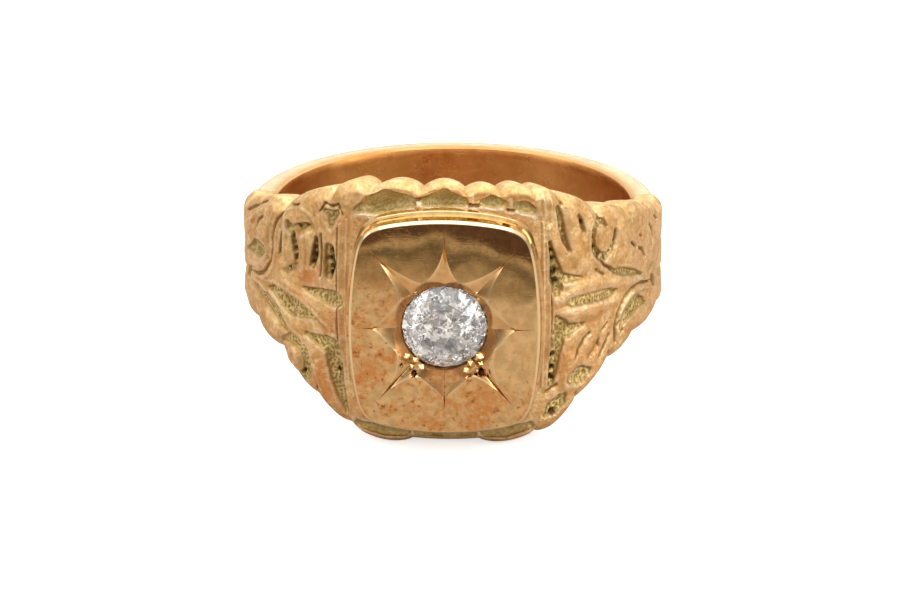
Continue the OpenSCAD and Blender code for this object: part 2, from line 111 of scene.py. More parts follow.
# Carving, as strokes whose rows give angle, place along the finger and half width.
# Matted pockets cut down between the leaves:
POCKETS = {
    "left spine lens": [
        (-55.1, -0.18, 0.05), (-52, -0.14, 0.28), (-48.4, -0.36, 0.48), (-44.6, -0.57, 0.54),
        (-41.2, -0.63, 0.42), (-37.9, -0.69, 0.24), (-35.1, -0.81, 0.05)],
    "left upper plate pocket": [
        (-39.6, 0.66, 0.05), (-35.7, 0.6, 0.22), (-32.9, 0.54, 0.34), (-30.2, 0.49, 0.42),
        (-29.1, 0.47, 0.42)],
    "left lower plate pocket": [
        (-38.5, -1.78, 0.06), (-35, -1.98, 0.28), (-31.8, -2.1, 0.45), (-30, -2.2, 0.5),
        (-29.2, -3.1, 0.46), (-28.2, -4.1, 0.32), (-27, -4.9, 0.2), (-25.9, -5.5, 0.06)],
    "left ball crescent": [
        (-48.2, -2.57, 0.1), (-45.7, -2.4, 0.22), (-42.3, -2.42, 0.3), (-39.6, -2.79, 0.34),
        (-38.5, -3.4, 0.32), (-38.7, -4.0, 0.3), (-41, -4.29, 0.2), (-43.5, -4.16, 0.06)],
    "left far slot": [(-75, -0.7, 0.06), (-72.5, -0.35, 0.28), (-69.8, -0.02, 0.06)],
    "left scroll hollow": [
        (-75, 0.78, 0.06), (-70, 1.1, 0.22), (-66, 1.42, 0.38), (-62.5, 1.5, 0.45),
        (-59.5, 1.6, 0.33), (-57.8, 1.7, 0.12)],
    "left first rib slot": [(-48.4, 3.2, 0.08), (-48.8, 2.5, 0.2), (-49.8, 1.95, 0.1)],
    "left second rib slot": [
        (-43.8, 3.45, 0.12), (-43.2, 3.0, 0.21), (-42.5, 2.5, 0.25), (-42.2, 1.95, 0.12)],
    "left third rib slot": [(-34.8, 3.55, 0.13), (-35.3, 2.8, 0.24), (-36.4, 2.05, 0.12)],
    "left fourth rib slot": [(-30.7, 3.2, 0.24), (-30.4, 2.4, 0.32), (-30.9, 1.7, 0.17)],
    "left lower leaf ground": [
        (-66, -0.8, 0.03), (-60, -0.86, 0.13), (-55, -1.08, 0.17), (-50.5, -1.55, 0.16),
        (-47.8, -1.95, 0.04)],
    "left heart": [(-32, 5.17, 0.12), (-30.1, 5.0, 0.28), (-28.3, 5.22, 0.12)],
    "left heart point": [(-30.1, 4.95, 0.28), (-30.2, 4.35, 0.05)],
    "right upper plate pocket": [
        (26.9, 3.8, 0.06), (27.6, 3.2, 0.14), (28.4, 2.4, 0.28), (29, 1.8, 0.43),
        (29, 1.3, 0.3), (29, 0.95, 0.14)],
    "right upper plate pocket's arm": [(29.5, 1.8, 0.3), (32, 1.66, 0.22), (36.5, 1.52, 0.04)],
    "right middle lens": [
        (31.9, 0.27, 0.06), (34, 0.3, 0.23), (40, 0.28, 0.26), (46, 0.22, 0.26), (49.3, 0.25, 0.06)],
    "right upper lens": [
        (48.6, 1.3, 0.1), (52.5, 1.05, 0.2), (56, 0.85, 0.18), (60, 0.6, 0.1), (63.5, 0.3, 0.04)],
    "right lower plate pocket": [
        (29, -0.35, 0.08), (30.3, -0.85, 0.36), (31.5, -1.2, 0.42), (34.5, -1.1, 0.2),
        (37.5, -1.0, 0.04)],
    "right lower plate pocket's leg": [
        (29.5, -1.4, 0.42), (28.7, -2.2, 0.32), (28.1, -3.1, 0.24), (27.4, -3.9, 0.15)],
    "right acorn": [(33.6, -3.85, 0.28), (36.3, -3.78, 0.46), (38.5, -3.7, 0.22), (39.8, -3.6, 0.04)],
    "right bottom oval": [
        (26.2, -5.6, 0.12), (28, -5.3, 0.36), (30, -5.0, 0.33), (31.5, -4.72, 0.1)],
    "right scroll hollow": [
        (52.5, -1.9, 0.08), (54.5, -1.5, 0.3), (57.5, -1.25, 0.42), (61, -1.1, 0.38),
        (64, -1.25, 0.2), (66, -1.45, 0.05)],
    "right end slot": [(68, 0.2, 0.05), (70, 0.25, 0.17), (72.3, 0.3, 0.06)],
    "right lower end slot": [(70.8, -0.3, 0.14), (72.5, -0.6, 0.24), (74.3, -1.1, 0.1)],
    "right first rib slot": [
        (29.2, 5.6, 0.1), (30.3, 4.6, 0.15), (31.1, 3.8, 0.12), (32.6, 3.15, 0.04)],
    "right second rib slot": [(35.3, 4.95, 0.06), (36.1, 4.65, 0.1), (37, 4.05, 0.05)],
    "right leaf ring": [
        (45.4, 3.95, 0.04), (44, 4.28, 0.12), (42, 4.34, 0.2), (40.7, 3.95, 0.2), (40.3, 3.4, 0.18),
        (41.1, 2.85, 0.18), (42.8, 2.42, 0.2), (45, 2.28, 0.19), (47.2, 2.55, 0.14), (48.6, 3.1, 0.1),
        (48.9, 3.6, 0.04)],
    "left rib foot": [(-47.6, 1.2, 0.05), (-45, 1.45, 0.12), (-43, 1.75, 0.14), (-42.2, 2.2, 0.08)],
    "over the left second rib": [
        (-42.6, 3.9, 0.08), (-40.6, 3.95, 0.14), (-38.2, 4.15, 0.1), (-36.8, 4.2, 0.04)],
    "left arch hollow": [(-45.4, 3.95, 0.1), (-44.5, 3.7, 0.24), (-43.6, 3.35, 0.16)],
    "rim first": [(-22.6, 5.55, 0.2), (-19.5, 5.8, 0.48), (-15.5, 6.02, 0.62), (-9.6, 6.0, 0.32)],
    "rim second": [(-5.4, 6.02, 0.26), (-0.5, 6.2, 0.5), (4.6, 6.04, 0.26)],
    "rim third": [(10.2, 6.0, 0.2), (12.4, 6.06, 0.34), (15.2, 5.94, 0.22)],
    "rim fourth": [(18.8, 5.82, 0.22), (20.4, 5.78, 0.34), (22.2, 5.62, 0.24)],
    "lower rim left": [(-23, -6.1, 0.16), (-16, -6.5, 0.26), (-10.5, -6.6, 0.18)],
    "lower rim middle": [(-7.6, -6.62, 0.16), (0, -6.68, 0.2), (7.6, -6.62, 0.16)],
    "lower rim right": [(10.5, -6.6, 0.18), (16, -6.5, 0.26), (22, -6.1, 0.18)],
}
# Matted lens pockets at the shoulders' far ends, which both shoulders share:
END_POCKETS = {
    "end upper": [(77, 0.3, 0.06), (82, 0.7, 0.28), (88, 0.85, 0.3), (92, 0.8, 0.08)],
    "end lower": [(77, -0.4, 0.06), (82, -0.8, 0.28), (88, -0.95, 0.3), (92, -0.9, 0.08)],
}
# Pits at the bottom of pockets, dark with dirt: angle, place along the finger, radius
DARK_PITS = [
    (-47.9, 3.05, 0.14), (-48.5, 2.6, 0.16), (-49.2, 2.2, 0.15), (-43.6, 3.3, 0.14),
    (-42.9, 2.95, 0.2), (-42.4, 2.6, 0.2), (-42.3, 2.2, 0.18), (-45.6, 1.55, 0.1),
    (-34.8, 3.4, 0.14), (-35.1, 3.0, 0.19), (-35.3, 2.6, 0.2), (-35.9, 2.2, 0.16),
    (-30.6, 3.1, 0.15), (-30.4, 2.6, 0.2), (-30, 2.2, 0.17), (-30.5, 1.8, 0.14),
    (-41.4, 4.0, 0.09), (-38.6, 4.2, 0.09), (-29.8, 5.0, 0.08), (36.3, 4.5, 0.1),
    (28.4, 2.1, 0.2), (28.7, 1.6, 0.18), (28, 2.8, 0.14), (27.6, 3.3, 0.09), (27.7, -3.6, 0.14),
    (28.4, -2.4, 0.1), (28.1, -3.1, 0.11), (30, 4.5, 0.1), (28, -5.5, 0.14), (61.8, 1.8, 0.1),
    (57, 2.4, 0.08), (-40.5, -3.9, 0.12), (-28.6, -3.4, 0.12), (40.4, 3.5, 0.08),
    (41.1, 2.9, 0.1), (42.8, 2.42, 0.09), (44.9, 2.24, 0.1), (46.9, 2.5, 0.08),
    (48.2, 3, 0.08), (48.7, 3.5, 0.06), (41.5, 4.35, 0.07)]
# Hollows that rise softly to the leaf beside them, with painted shade in them:
HOLLOWS = {
    "under the left spine": [
        (-68, -0.85, 0.12), (-60, -0.95, 0.25), (-54, -1.2, 0.3), (-49, -1.75, 0.25), (-46, -2.2, 0.1)],
    "inside the left ball": [(-41, -2.8, 0.2), (-40.4, -3.4, 0.24), (-41, -3.8, 0.12)],
    "between the left ribs": [(-44, 1.7, 0.2), (-47, 1.2, 0.14)],
    "over the left ribs": [(-42.3, 3.6, 0.1), (-39.5, 3.95, 0.22), (-36.6, 4.1, 0.12)],
    "left of the scroll": [(-56, 1.4, 0.1), (-55, 2.6, 0.14), (-53.6, 3.4, 0.1)],
    "inside the right ring": [(42.2, 3.5, 0.05), (42.2, 3, 0.05)],
    "beside the right scroll": [(51, -1.9, 0.12), (52.5, -1.2, 0.16), (57, -0.62, 0.14), (64, -0.6, 0.1)],
    "right of the acorn": [(39.5, -2.9, 0.12), (42, -2.5, 0.12)],
    "between the left far lobes": [(-67.5, 3.1, 0.06), (-66.3, 2.7, 0.16), (-65.5, 2.2, 0.12)],
}
# Engraved lines, not matted:
GROOVES = {
    "left scroll outline": [
        (-69.5, -0.09, 0.06), (-63.4, 0.07, 0.07), (-59.5, 0.38, 0.08), (-56.7, 0.82, 0.08),
        (-54.5, 1.38, 0.08), (-53.4, 2.04, 0.08), (-53.3, 2.7, 0.07), (-52.3, 3.27, 0.07),
        (-50.7, 3.8, 0.06), (-48.4, 4.27, 0.04)],
    "left leaf ball": [
        (-58.5, 3.55, 0.03), (-61, 3.3, 0.07), (-63, 3.0, 0.1), (-63.9, 2.6, 0.12), (-63.3, 2.2, 0.09),
        (-61.5, 2.02, 0.05)],
    "left upper streak": [
        (-75, 2.85, 0.07), (-71, 3.2, 0.08), (-66, 3.65, 0.07), (-61, 4.1, 0.05), (-57.5, 4.4, 0.03)],
    "left lower leaf rib": [
        (-67, -0.66, 0.05), (-61, -0.55, 0.07), (-56, -0.6, 0.08), (-51, -1.02, 0.09),
        (-47, -1.65, 0.09), (-43.6, -2.3, 0.06)],
    "left leaf tip": [(-44.5, 4.9, 0.04), (-41, 5.1, 0.04)],
    "left rib edge": [(-33.1, 3.9, 0.03), (-32.9, 2.8, 0.04), (-33.2, 1.6, 0.03)],
    "left heart frame": [
        (-33.6, 5.1, 0.03), (-32, 5.62, 0.04), (-30, 5.5, 0.04), (-28, 5.68, 0.04), (-26.8, 5.2, 0.03)],
    "left plate frame": [(-28.2, 4.4, 0.0), (-28.5, 2, 0.0), (-28.5, -0.5, 0.0), (-28, -2.3, 0.0)],
    "left notch crease": [(-49.4, -3.05, 0.06), (-48.5, -2.7, 0.05)],
    "left lower notch crease": [(-35.7, -5.0, 0.07), (-35.2, -4.55, 0.04)],
    "left far notch crease": [(-64.6, -2.5, 0.06), (-62.8, -2.1, 0.03)],
    "left top crease": [(-48.6, 4.6, 0.06), (-46.8, 4.2, 0.04)],
    "right leaf stem": [(41.6, 2.7, 0.05), (44.5, 1.85, 0.06), (48.6, 1.35, 0.06)],
    "right outer scroll": [
        (49.1, -2.6, 0.05), (49, -1.8, 0.08), (50, -1.2, 0.09), (51.5, -0.75, 0.09),
        (53.6, -0.35, 0.09), (57.4, -0.07, 0.08), (61.9, -0.07, 0.07), (65.7, -0.3, 0.06),
        (70, -0.5, 0.04)],
    "right vein": [(39.4, -1.6, 0.04), (37.5, -1.85, 0.06), (35.8, -2.3, 0.06), (34.5, -2.85, 0.03)],
    "right first tick": [(43.9, -1.7, 0.04), (45.8, -1.4, 0.04)],
    "right second tick": [(42.2, -2.4, 0.06), (42.6, -2.1, 0.04)],
    "right third tick": [(42.8, -3.1, 0.05), (44.6, -2.6, 0.08), (46.4, -2.05, 0.04)],
    "right fourth tick": [(56, 2.5, 0.05), (57.5, 2.3, 0.06), (59, 2.05, 0.04)],
    "right fifth tick": [(60.8, 1.9, 0.05), (63.3, 1.7, 0.08), (65.5, 1.15, 0.04)],
    "right sixth tick": [(61.6, 2.6, 0.05), (63, 2.4, 0.05)],
    "right end hook": [(68.5, 2.8, 0.05), (71.3, 2.3, 0.08), (72, 1.8, 0.08), (71.8, 1.4, 0.05)],
    "right end line": [(73, 2.95, 0.05), (77, 2.5, 0.06)],
    "right scroll tick": [(49.9, -1.75, 0.05), (51, -1.6, 0.05)],
    "right scroll dot": [(51.5, -2.25, 0.08), (52.5, -2.15, 0.06)],
    "right bottom line": [(26.3, -4.3, 0.04), (29, -4.05, 0.05)],
    "right stem tick": [(41.5, 1.75, 0.03), (44.3, 1.35, 0.03)],
    "right plate frame": [(27.2, 1, 0.0), (27.6, -0.2, 0.0), (27.2, -2.4, 0.0)],
    "right notch crease": [(47.3, -3.4, 0.06), (46.6, -3.0, 0.04)],
    "right lower notch crease": [(35.6, -5.1, 0.07), (35, -4.7, 0.04)],
    "right top crease": [(30, 6.1, 0.05), (30.4, 5.7, 0.04)],
    "right second top crease": [(42, 4.95, 0.05), (42.2, 4.6, 0.03)],
    "rim's first notch": [(-8.7, 6.12, 0.09), (-6.7, 6.14, 0.07)],
    "rim's second notch": [(6.6, 5.86, 0.09), (8.7, 5.84, 0.08)],
    "rim's third notch": [(16.3, 5.64, 0.06), (17.7, 5.58, 0.06)],
}
# Ribs, leaves and balls that stand proud:
LEAVES = {
    "left upper spine": [
        (-57, 0.1, 0.2), (-50, 0.45, 0.26), (-44, 0.35, 0.3), (-38, 0.0, 0.32), (-33, -0.5, 0.38),
        (-29.5, -1.1, 0.45)],
    "left lower spine": [
        (-66, -0.35, 0.1), (-55, -0.45, 0.12), (-46.8, -1.4, 0.18), (-41, -1.8, 0.3),
        (-36.8, -2.75, 0.4), (-33, -3.7, 0.5), (-29.5, -4.9, 0.5)],
    "left ball": [(-43.6, -3.3, 0.5), (-42.4, -3.4, 0.5)],
    "left leaf ball": [(-61.5, 2.5, 0.35), (-56.5, 3.0, 0.6), (-52.5, 4.1, 0.4)],
    "left lower leaf": [(-60, -1.9, 0.4), (-52, -2.2, 0.5)],
    "left first rib": [(-46, 4.5, 0.3), (-46.8, 2.4, 0.36)],
    "left second rib": [(-39.5, 4.9, 0.35), (-38.8, 2, 0.4)],
    "left third rib": [(-33, 3.9, 0.2), (-33, 1.5, 0.28)],
    "left scroll rim": [(-70, 0.45, 0.15), (-62, 0.72, 0.2), (-57.8, 1.1, 0.22), (-55.8, 1.9, 0.22)],
    "left plate rib": [(-27.3, 4.6, 0.18), (-27.7, 1.5, 0.2), (-27.7, -1.5, 0.2), (-26.8, -4, 0.18)],
    "right upper spine": [
        (29, 0.55, 0.25), (38, 0.95, 0.38), (46, 0.8, 0.3), (52, 0.45, 0.2), (62, 0.05, 0.15)],
    "right lower spine": [(30, -0.2, 0.2), (40, -0.4, 0.35), (50, -0.3, 0.22)],
    "right first rib": [(33, 5.8, 0.35), (34.5, 3.2, 0.45), (37, 2.2, 0.38)],
    "right second rib": [(39, 5, 0.3), (38.4, 3.4, 0.35)],
    "right long leaf": [(52, 3.5, 0.5), (58, 1.6, 0.45)],
    "right bottom rib": [(32, -4.2, 0.33), (33.2, -2.8, 0.33)],
    "right scroll rim": [(51, -2.2, 0.15), (52.5, -1.1, 0.18), (57, -0.5, 0.2), (64, -0.6, 0.18)],
    "right plate rib": [(26.2, 4.6, 0.18), (26.6, 1.5, 0.2), (26.6, -1.5, 0.2), (26, -4, 0.18)],
}

# Narrow ridges and lobes with crisp edges, along the borders of leaves and scrolls:
RIDGES = {
    "left scroll rim": [
        (-74, 0.75, 0.08), (-68, 0.45, 0.1), (-63, 0.5, 0.13), (-59, 0.95, 0.13), (-56.3, 1.6, 0.13),
        (-55, 2.3, 0.12), (-54.4, 3, 0.1), (-53.4, 3.7, 0.08), (-51.6, 4.25, 0.05)],
    "left spine's upper border": [
        (-68, 0.12, 0.05), (-62, -0.02, 0.06), (-58, 0.12, 0.08), (-55, 0.6, 0.09), (-53, 1.2, 0.1),
        (-51.8, 1.9, 0.09), (-51.7, 2.6, 0.08), (-51, 3.2, 0.07), (-49.2, 3.8, 0.05)],
    "left scroll's lobe": [(-61.7, 2.35, 0.28), (-59.5, 2.5, 0.38), (-56.5, 2.9, 0.3)],
    "left far lobe": [(-73.5, 1.8, 0.12), (-71, 2.2, 0.2), (-69, 2.7, 0.14)],
    "rim's first divider": [(-8.6, 6.4, 0.05), (-7.6, 5.8, 0.06)],
    "rim's second divider": [(6.9, 6.35, 0.05), (7.5, 5.8, 0.06)],
    "rim's third divider": [(16.8, 6.2, 0.05), (17.2, 5.6, 0.06)],
    "left scroll's streak": [(-74, 2.3, 0.06), (-69, 2.8, 0.1), (-64, 3.35, 0.12), (-59, 3.9, 0.08)],
    "left first rib": [(-46.4, 4.2, 0.1), (-46.8, 3, 0.15), (-47.4, 1.9, 0.1)],
    "left second rib": [(-39.6, 3.4, 0.18), (-39.6, 2.4, 0.25), (-40, 1.4, 0.2)],
    "left third rib": [(-33.8, 4, 0.06), (-33, 3, 0.1), (-33, 1.9, 0.13), (-33.5, 1, 0.08)],
    "left heart border": [
        (-33.9, 5.5, 0.05), (-32.8, 4.7, 0.07), (-30.3, 4.05, 0.08), (-28, 4.7, 0.07), (-27.2, 5.4, 0.05)],
    "left arch": [
        (-45.6, 4.6, 0.05), (-43.5, 5, 0.07), (-40.5, 5.05, 0.08), (-37.5, 4.85, 0.08), (-35.2, 4.4, 0.06)],
    "left lens's upper border": [
        (-57, 0.12, 0.04), (-52, 0.33, 0.07), (-46, 0.22, 0.09), (-40.5, 0, 0.1), (-36, -0.45, 0.09),
        (-31.5, -1.0, 0.1)],
    "left lower spine": [
        (-68, -0.42, 0.05), (-61.5, -0.3, 0.07), (-56.7, -0.5, 0.08), (-50.5, -1.15, 0.09),
        (-44.6, -1.8, 0.1), (-40.4, -2.1, 0.1), (-37, -3, 0.11), (-35, -4, 0.1), (-33.2, -4.9, 0.06)],
    "left ball": [(-44, -3.15, 0.34), (-43.4, -3.35, 0.36)],
    "left plate line": [(-27.4, 4.6, 0.05), (-27.8, 2, 0.06), (-27.8, -0.5, 0.06), (-27.2, -2.6, 0.05)],
    "left outer plate line": [(-25.4, 4.9, 0.04), (-25.8, 2, 0.05), (-25.8, -1, 0.05), (-25, -4, 0.04)],
    "right ring's border": [
        (42.5, 4.8, 0.05), (39.9, 4.5, 0.08), (38.9, 3.9, 0.09), (38.9, 3.2, 0.09), (39.9, 2.5, 0.08),
        (42, 2.05, 0.06), (46, 1.6, 0.05)],
    "right leaf's border": [(49.6, 2.6, 0.0), (48, 2.0, 0.03), (50, 1.55, 0.04), (56, 1.2, 0.03)],
    "right scroll rim": [
        (50.4, -2.6, 0.06), (50.4, -1.9, 0.09), (51.6, -1.2, 0.11), (54, -0.65, 0.12),
        (58, -0.4, 0.11), (63, -0.45, 0.08), (68, -0.75, 0.05)],
    "right upper arm": [(29.5, 1.15, 0.08), (31.5, 1.28, 0.1), (34.5, 1.3, 0.05)],
    "right corner ribs": [(25.2, 6.3, 0.07), (25.6, 5.2, 0.06)],
    "right corner's second rib": [(27.3, 6.2, 0.08), (27.2, 5, 0.06)],
    "right plate line": [(26.6, 4.6, 0.05), (27, 2, 0.06), (27, -0.5, 0.06), (26.6, -2.6, 0.05)],
    "right outer plate line": [(24.9, 4.9, 0.04), (25.2, 2, 0.05), (25.2, -1, 0.05), (24.8, -4, 0.04)],
}

# Reddish fire stain on the band, and at (-66, 2.6) a painted shadow beside the far left lobe:
# angle, place along the finger, radius, strength
STAINS = [
    (-31, -1.1, 1.0, 0.8), (-33, -3.6, 1.1, 0.9), (-29, -5.2, 1.0, 0.7), (-39, 1.4, 0.7, 0.9),
    (-40, -3.3, 0.6, 0.8), (-56, -2.6, 0.8, 0.5), (-57, 0, 0.7, 0.5), (-45, 0.2, 0.6, 0.3),
    (-37, 4.9, 0.8, 0.4), (-26, 4.9, 0.6, 0.5), (31.5, -3, 0.6, 1.0), (40.5, -2.8, 0.5, 0.8),
    (30, 2.9, 0.6, 0.5), (27, -2.2, 0.6, 0.5), (32, -5, 0.9, 0.5), (58, -2, 0.8, 0.5),
    (62, 3.4, 0.6, 0.4), (71, 1.6, 0.5, 0.6), (43, -0.6, 0.8, 0.4), (0, -6.9, 1.6, 0.4),
    (-66, 2.6, 0.6, 0.9), (-72, 1.2, 0.7, 0.8)]

# Rays of the star: direction, reach of the fine line at the tip, reach of the ray's body, how
# hollow its outline is, depth beside the stone
RAYS = [
    (0, 4.67, 3.8, 1.0, 0.28), (49, 5.5, 5.2, 1.45, 0.27), (90, 5.3, 4.8, 1.6, 0.3),
    (132.5, 6.0, 5.5, 1.35, 0.28), (180, 4.63, 3.85, 1.05, 0.28), (229, 5.36, 5.1, 1.8, 0.22),
    (270, 4.72, 4.0, 1.1, 0.12), (310.2, 5.65, 5.3, 1.8, 0.22)]
# Where neighbouring rays meet: direction and reach
VALLEYS = [
    (32, 2.64), (72, 2.64), (114, 2.72), (148, 2.7), (206, 2.76), (246, 2.9), (296, 2.86), (338, 2.8)]
# The lower rays, which keep the graver's line down their middle, the line's depth, and how many
# degrees to each side belong to the ray
LINED_RAYS = RAYS[5:8]
LINE_DEPTH = 0.03
LINED_ANGLE = 10
# The bowl round the stone: depth, and how much further it reaches at a ray
BOWL_DEPTH = 0.38
BOWL_WIDENING = 0.2
# Dark pits that the graver left beyond the beads: direction, reach, radius, depth
PITS = [(237, 2.9, 0.13, 0.25), (309, 3.02, 0.15, 0.25), (222, 3.0, 0.07, 0.12), (298, 2.82, 0.08, 0.12)]
# Where the plate's body ends, out of sight in the head, and the stone's seat: the gap under the
# girdle, and the seat's fall for each millimetre towards the middle
PLATE_BOTTOM = 10.0
SEAT_GAP = 0.06
SEAT_SLOPE = 0.84
# Grain beads that hold the stone: direction, reach, level over the girdle, radius
BEADS = [
    (42, 2.42, 0.12, 0.17), (50, 2.54, 0.12, 0.19), (128, 2.42, 0.12, 0.17), (137, 2.52, 0.12, 0.19),
    (219, 2.5, 0.2, 0.27), (229, 2.32, 0.24, 0.24), (232, 2.7, 0.16, 0.24), (241, 2.46, 0.2, 0.26),
    (296, 2.54, 0.2, 0.28), (305, 2.34, 0.24, 0.26), (314, 2.64, 0.18, 0.25), (320, 2.36, 0.24, 0.27)]
# Corners of a flaw in the stone, a thin flake with a low peak, for a size of 1
FLAKE = [(1, 0, 0), (-0.5, 0.8, 0), (-0.5, -0.8, 0), (0, 0, 0.12)]
# Where the flaws have less painted glow: middle across and along, half width, half height
DULL_AREAS = [(0, -0.75, 1.3, 0.65), (-0.1, 1.0, 0.5, 0.6)]

# The band's lengths, which meet behind the plate's corners and where the shoulders step down to
# the plain shank: name, first and last angle, step
HEAD_END = 24.4
SHANK_START = 94.6
BAND_RUNS = [
    ("left_shoulder", -SHANK_START, -HEAD_END, 0.2),
    ("head_rims", -HEAD_END, HEAD_END, 0.4),
    ("right_shoulder", HEAD_END, SHANK_START, 0.2),
    ("plain_shank", SHANK_START, 360 - SHANK_START, 1.9)]
# Half the angle of that step. The rows of points start this far in from the band's edges.
STEP_HALF = 0.6
EDGE_INSET = 0.07
# Where the rims over the plate, and the evenly dull ground of their pockets, have given way to
# the shoulders, and over what angle they do so
RIMS_END = 27
RIMS_FADE = 5
EVEN_END = 25
EVEN_FADE = 2
# How a carved rim and the plain shank's side run from the outside to the finger hole, a row for
# each point: share of the way to the hole from RIM_DEPTH below the outside, drop below the crest
RIM_DEPTH = 0.45
CARVED_RIM = [
    (-0.02, 0.025), (0.07, 0.0), (0.2, 0.008), (0.48, 0.06), (0.78, 0.14), (0.93, 0.19), (1.0, 0.28)]
SHANK_RIM = [
    (-0.1, 0.03), (-0.02, 0.0), (0.35, 0.0), (0.7, 0.0), (0.9, 0.004), (0.97, 0.015), (1.0, 0.06)]
RIM_ROWS = len(CARVED_RIM)
HOLE_ROWS = 10
# The plain shank's outside falls this far to its edges, and later the higher the power
SHANK_ROUND = 0.28
SHANK_POWER = 7
# How much painted shade the plain shank's sides take, by row of points from the outside
SIDE_SHADE = [(2, 0.35), (3, 0.8), (4, 1.0)]
# From which angle the side of the shank's back takes the finger hole's painted reflection, and
# over how many degrees it comes in
BACK_START = 100
BACK_FADE = 45

# A scallop's outline is fuller than a half wave where this is below 1
BULGE_POWER = 0.7
# In millimetres: how far outlines stray, how much wider a line is cut than its stroke, where a
# pocket's ground starts to rise towards its lower edge, and how far off wear is judged
UNEVEN_LINE = 0.012
GROOVE_SPREAD = 0.012
GROUND_RISE = 0.25
WEAR_REACH = 0.16
# Widths of the soft borders of leaves and hollows, of ridges, and of the shade in a hollow
SOFT_BORDER = 0.5
RIDGE_BORDER = 0.16
SHADE_BORDER = 0.4
# Wear doesn't tell depths below this one apart
WEAR_DEPTH = -0.08
# Marks of the matting punch: pitch in millimetres, and as shares of it how far they stray and
# their radius
PUNCH_PITCH = 0.17
PUNCH_STRAY = 0.45
PUNCH_RADIUS = 0.42
STAIN_EVERYWHERE = 0.3

# Where the camera stands: height over the plane of the ring, turn round the finger's axis,
# distance. Where the ring's middle stands in the picture: pixels right of and over its middle.
VIEW_HEIGHT = math.radians(19)
VIEW_TURN = math.radians(2.1)
VIEW_DISTANCE = 300.0
PIXELS_PER_MM = 18.74
PICTURE_WIDTH = 900
MIDDLE_RIGHT = 3.2
MIDDLE_UP = 53.5

# Soft lights: name, place, width, height, power in watts
SOFT_LIGHTS = [
    ("top_light", (0.0, 0.02, 0.32), 0.34, 0.3, 0.45),
    ("left_light", (-0.3, -0.06, 0.16), 0.22, 0.22, 0.15),
    ("right_light", (0.3, -0.1, 0.14), 0.16, 0.22, 0.35),
    ("back_light", (0.05, 0.34, 0.2), 0.3, 0.16, 0.3)]

# Brightness of the room by the sine of the height over the horizon, which starts at ROOM_LOW, to
# the sides, in front and behind: height, red, green, blue
ROOM_LOW = -0.1
ROOM_ROUND = [
    (-0.09, 0.72, 0.66, 0.58), (0.0, 0.56, 0.51, 0.45), (0.25, 0.46, 0.42, 0.38),
    (0.45, 0.85, 0.83, 0.8), (0.9, 1.2, 1.2, 1.2)]
ROOM_FRONT = [
    (-0.06, 0.62, 0.52, 0.42), (-0.025, 0.6, 0.5, 0.4), (-0.012, 0.44, 0.37, 0.29),
    (0.002, 0.4, 0.34, 0.26), (0.012, 0.19, 0.16, 0.12), (0.027, 0.17, 0.145, 0.11),
    (0.036, 0.5, 0.42, 0.33), (0.0505, 0.5, 0.41, 0.32), (0.053, 0.13, 0.08, 0.06),
    (0.15, 0.11, 0.07, 0.055), (0.3, 0.28, 0.25, 0.22), (0.5, 0.95, 0.95, 0.95),
    (0.9, 1.1, 1.1, 1.1)]
ROOM_BACK = [
    (-0.09, 0.72, 0.66, 0.58), (0.0, 0.9, 0.87, 0.82), (0.06, 1.14, 1.12, 1.08),
    (0.35, 1.14, 1.12, 1.08), (0.6, 1.2, 1.2, 1.2)]
# How the dark shapes in front bend down to the sides, as the plate mirrors them
FRONT_ASIDE = 0.035
FRONT_REACH = 0.15
FRONT_TILT = 0.13
FRONT_BEND = 0.5


def smooth(t):
    """Eases a number on its way from 0 to 1, and holds it at both ends."""
    t = np.clip(t, 0, 1)
    return t * t * (3 - 2 * t)


def soft_mask(within, border):
    """1 inside an outline and 0 outside it, with a soft border."""
    return smooth(within / border + 0.5)


def between(first, second, share):
    """The value at a share of the way from the first to the second."""
    return first * (1 - share) + second * share


def place(points):
    """Turns points of the ring's own frame, in millimetres, into the part's frame in metres."""
    points = np.asarray(points, float)
    across = points[..., :1] * RIGHT
    outwards = points[..., 1:2] * OUT
    along = points[..., 2:] * ALONG
    return CENTRE + MM * (across + outwards + along)


def soft_noise(x, y, seed, waves=24, size=1.0):
    """Smooth random relief between about -1 and 1, from waves of a seeded random direction."""
    random = np.random.default_rng(seed)
    total = np.zeros(np.broadcast(x, y).shape)
    for _ in range(waves):
        turn = random.uniform(0, 2 * math.pi)
        rate = random.uniform(0.6, 1.7) * 2 * math.pi / size
        phase = random.uniform(0, 2 * math.pi)
        total += np.sin(rate * (x * math.cos(turn) + y * math.sin(turn)) + phase)
    return total / math.sqrt(waves)


def edge(angle, table):
    """Edge of the band: straight from notch to notch, with a round bulge on each run."""
    angles, places, bulges = np.array(table).T
    run = np.clip(np.searchsorted(angles, angle, side="right") - 1, 0, len(table) - 2)
    share = np.clip((angle - angles[run]) / (angles[run + 1] - angles[run]), 0, 1)
    straight = places[run] + (places[run + 1] - places[run]) * share
    return straight + bulges[run] * np.sin(math.pi * share) ** BULGE_POWER


def base_radius(angle):
    """Radius of the band's outside before it is carved: flat under the plate, then the shoulder."""
    reach = np.abs(angle)
    shoulder = np.interp(reach, *zip(*SHOULDER))
    head = HEAD_PLANE / np.cos(np.radians(np.minimum(reach, HEAD_ANGLE)))
    return np.where(reach < HEAD_ANGLE, head, shoulder)


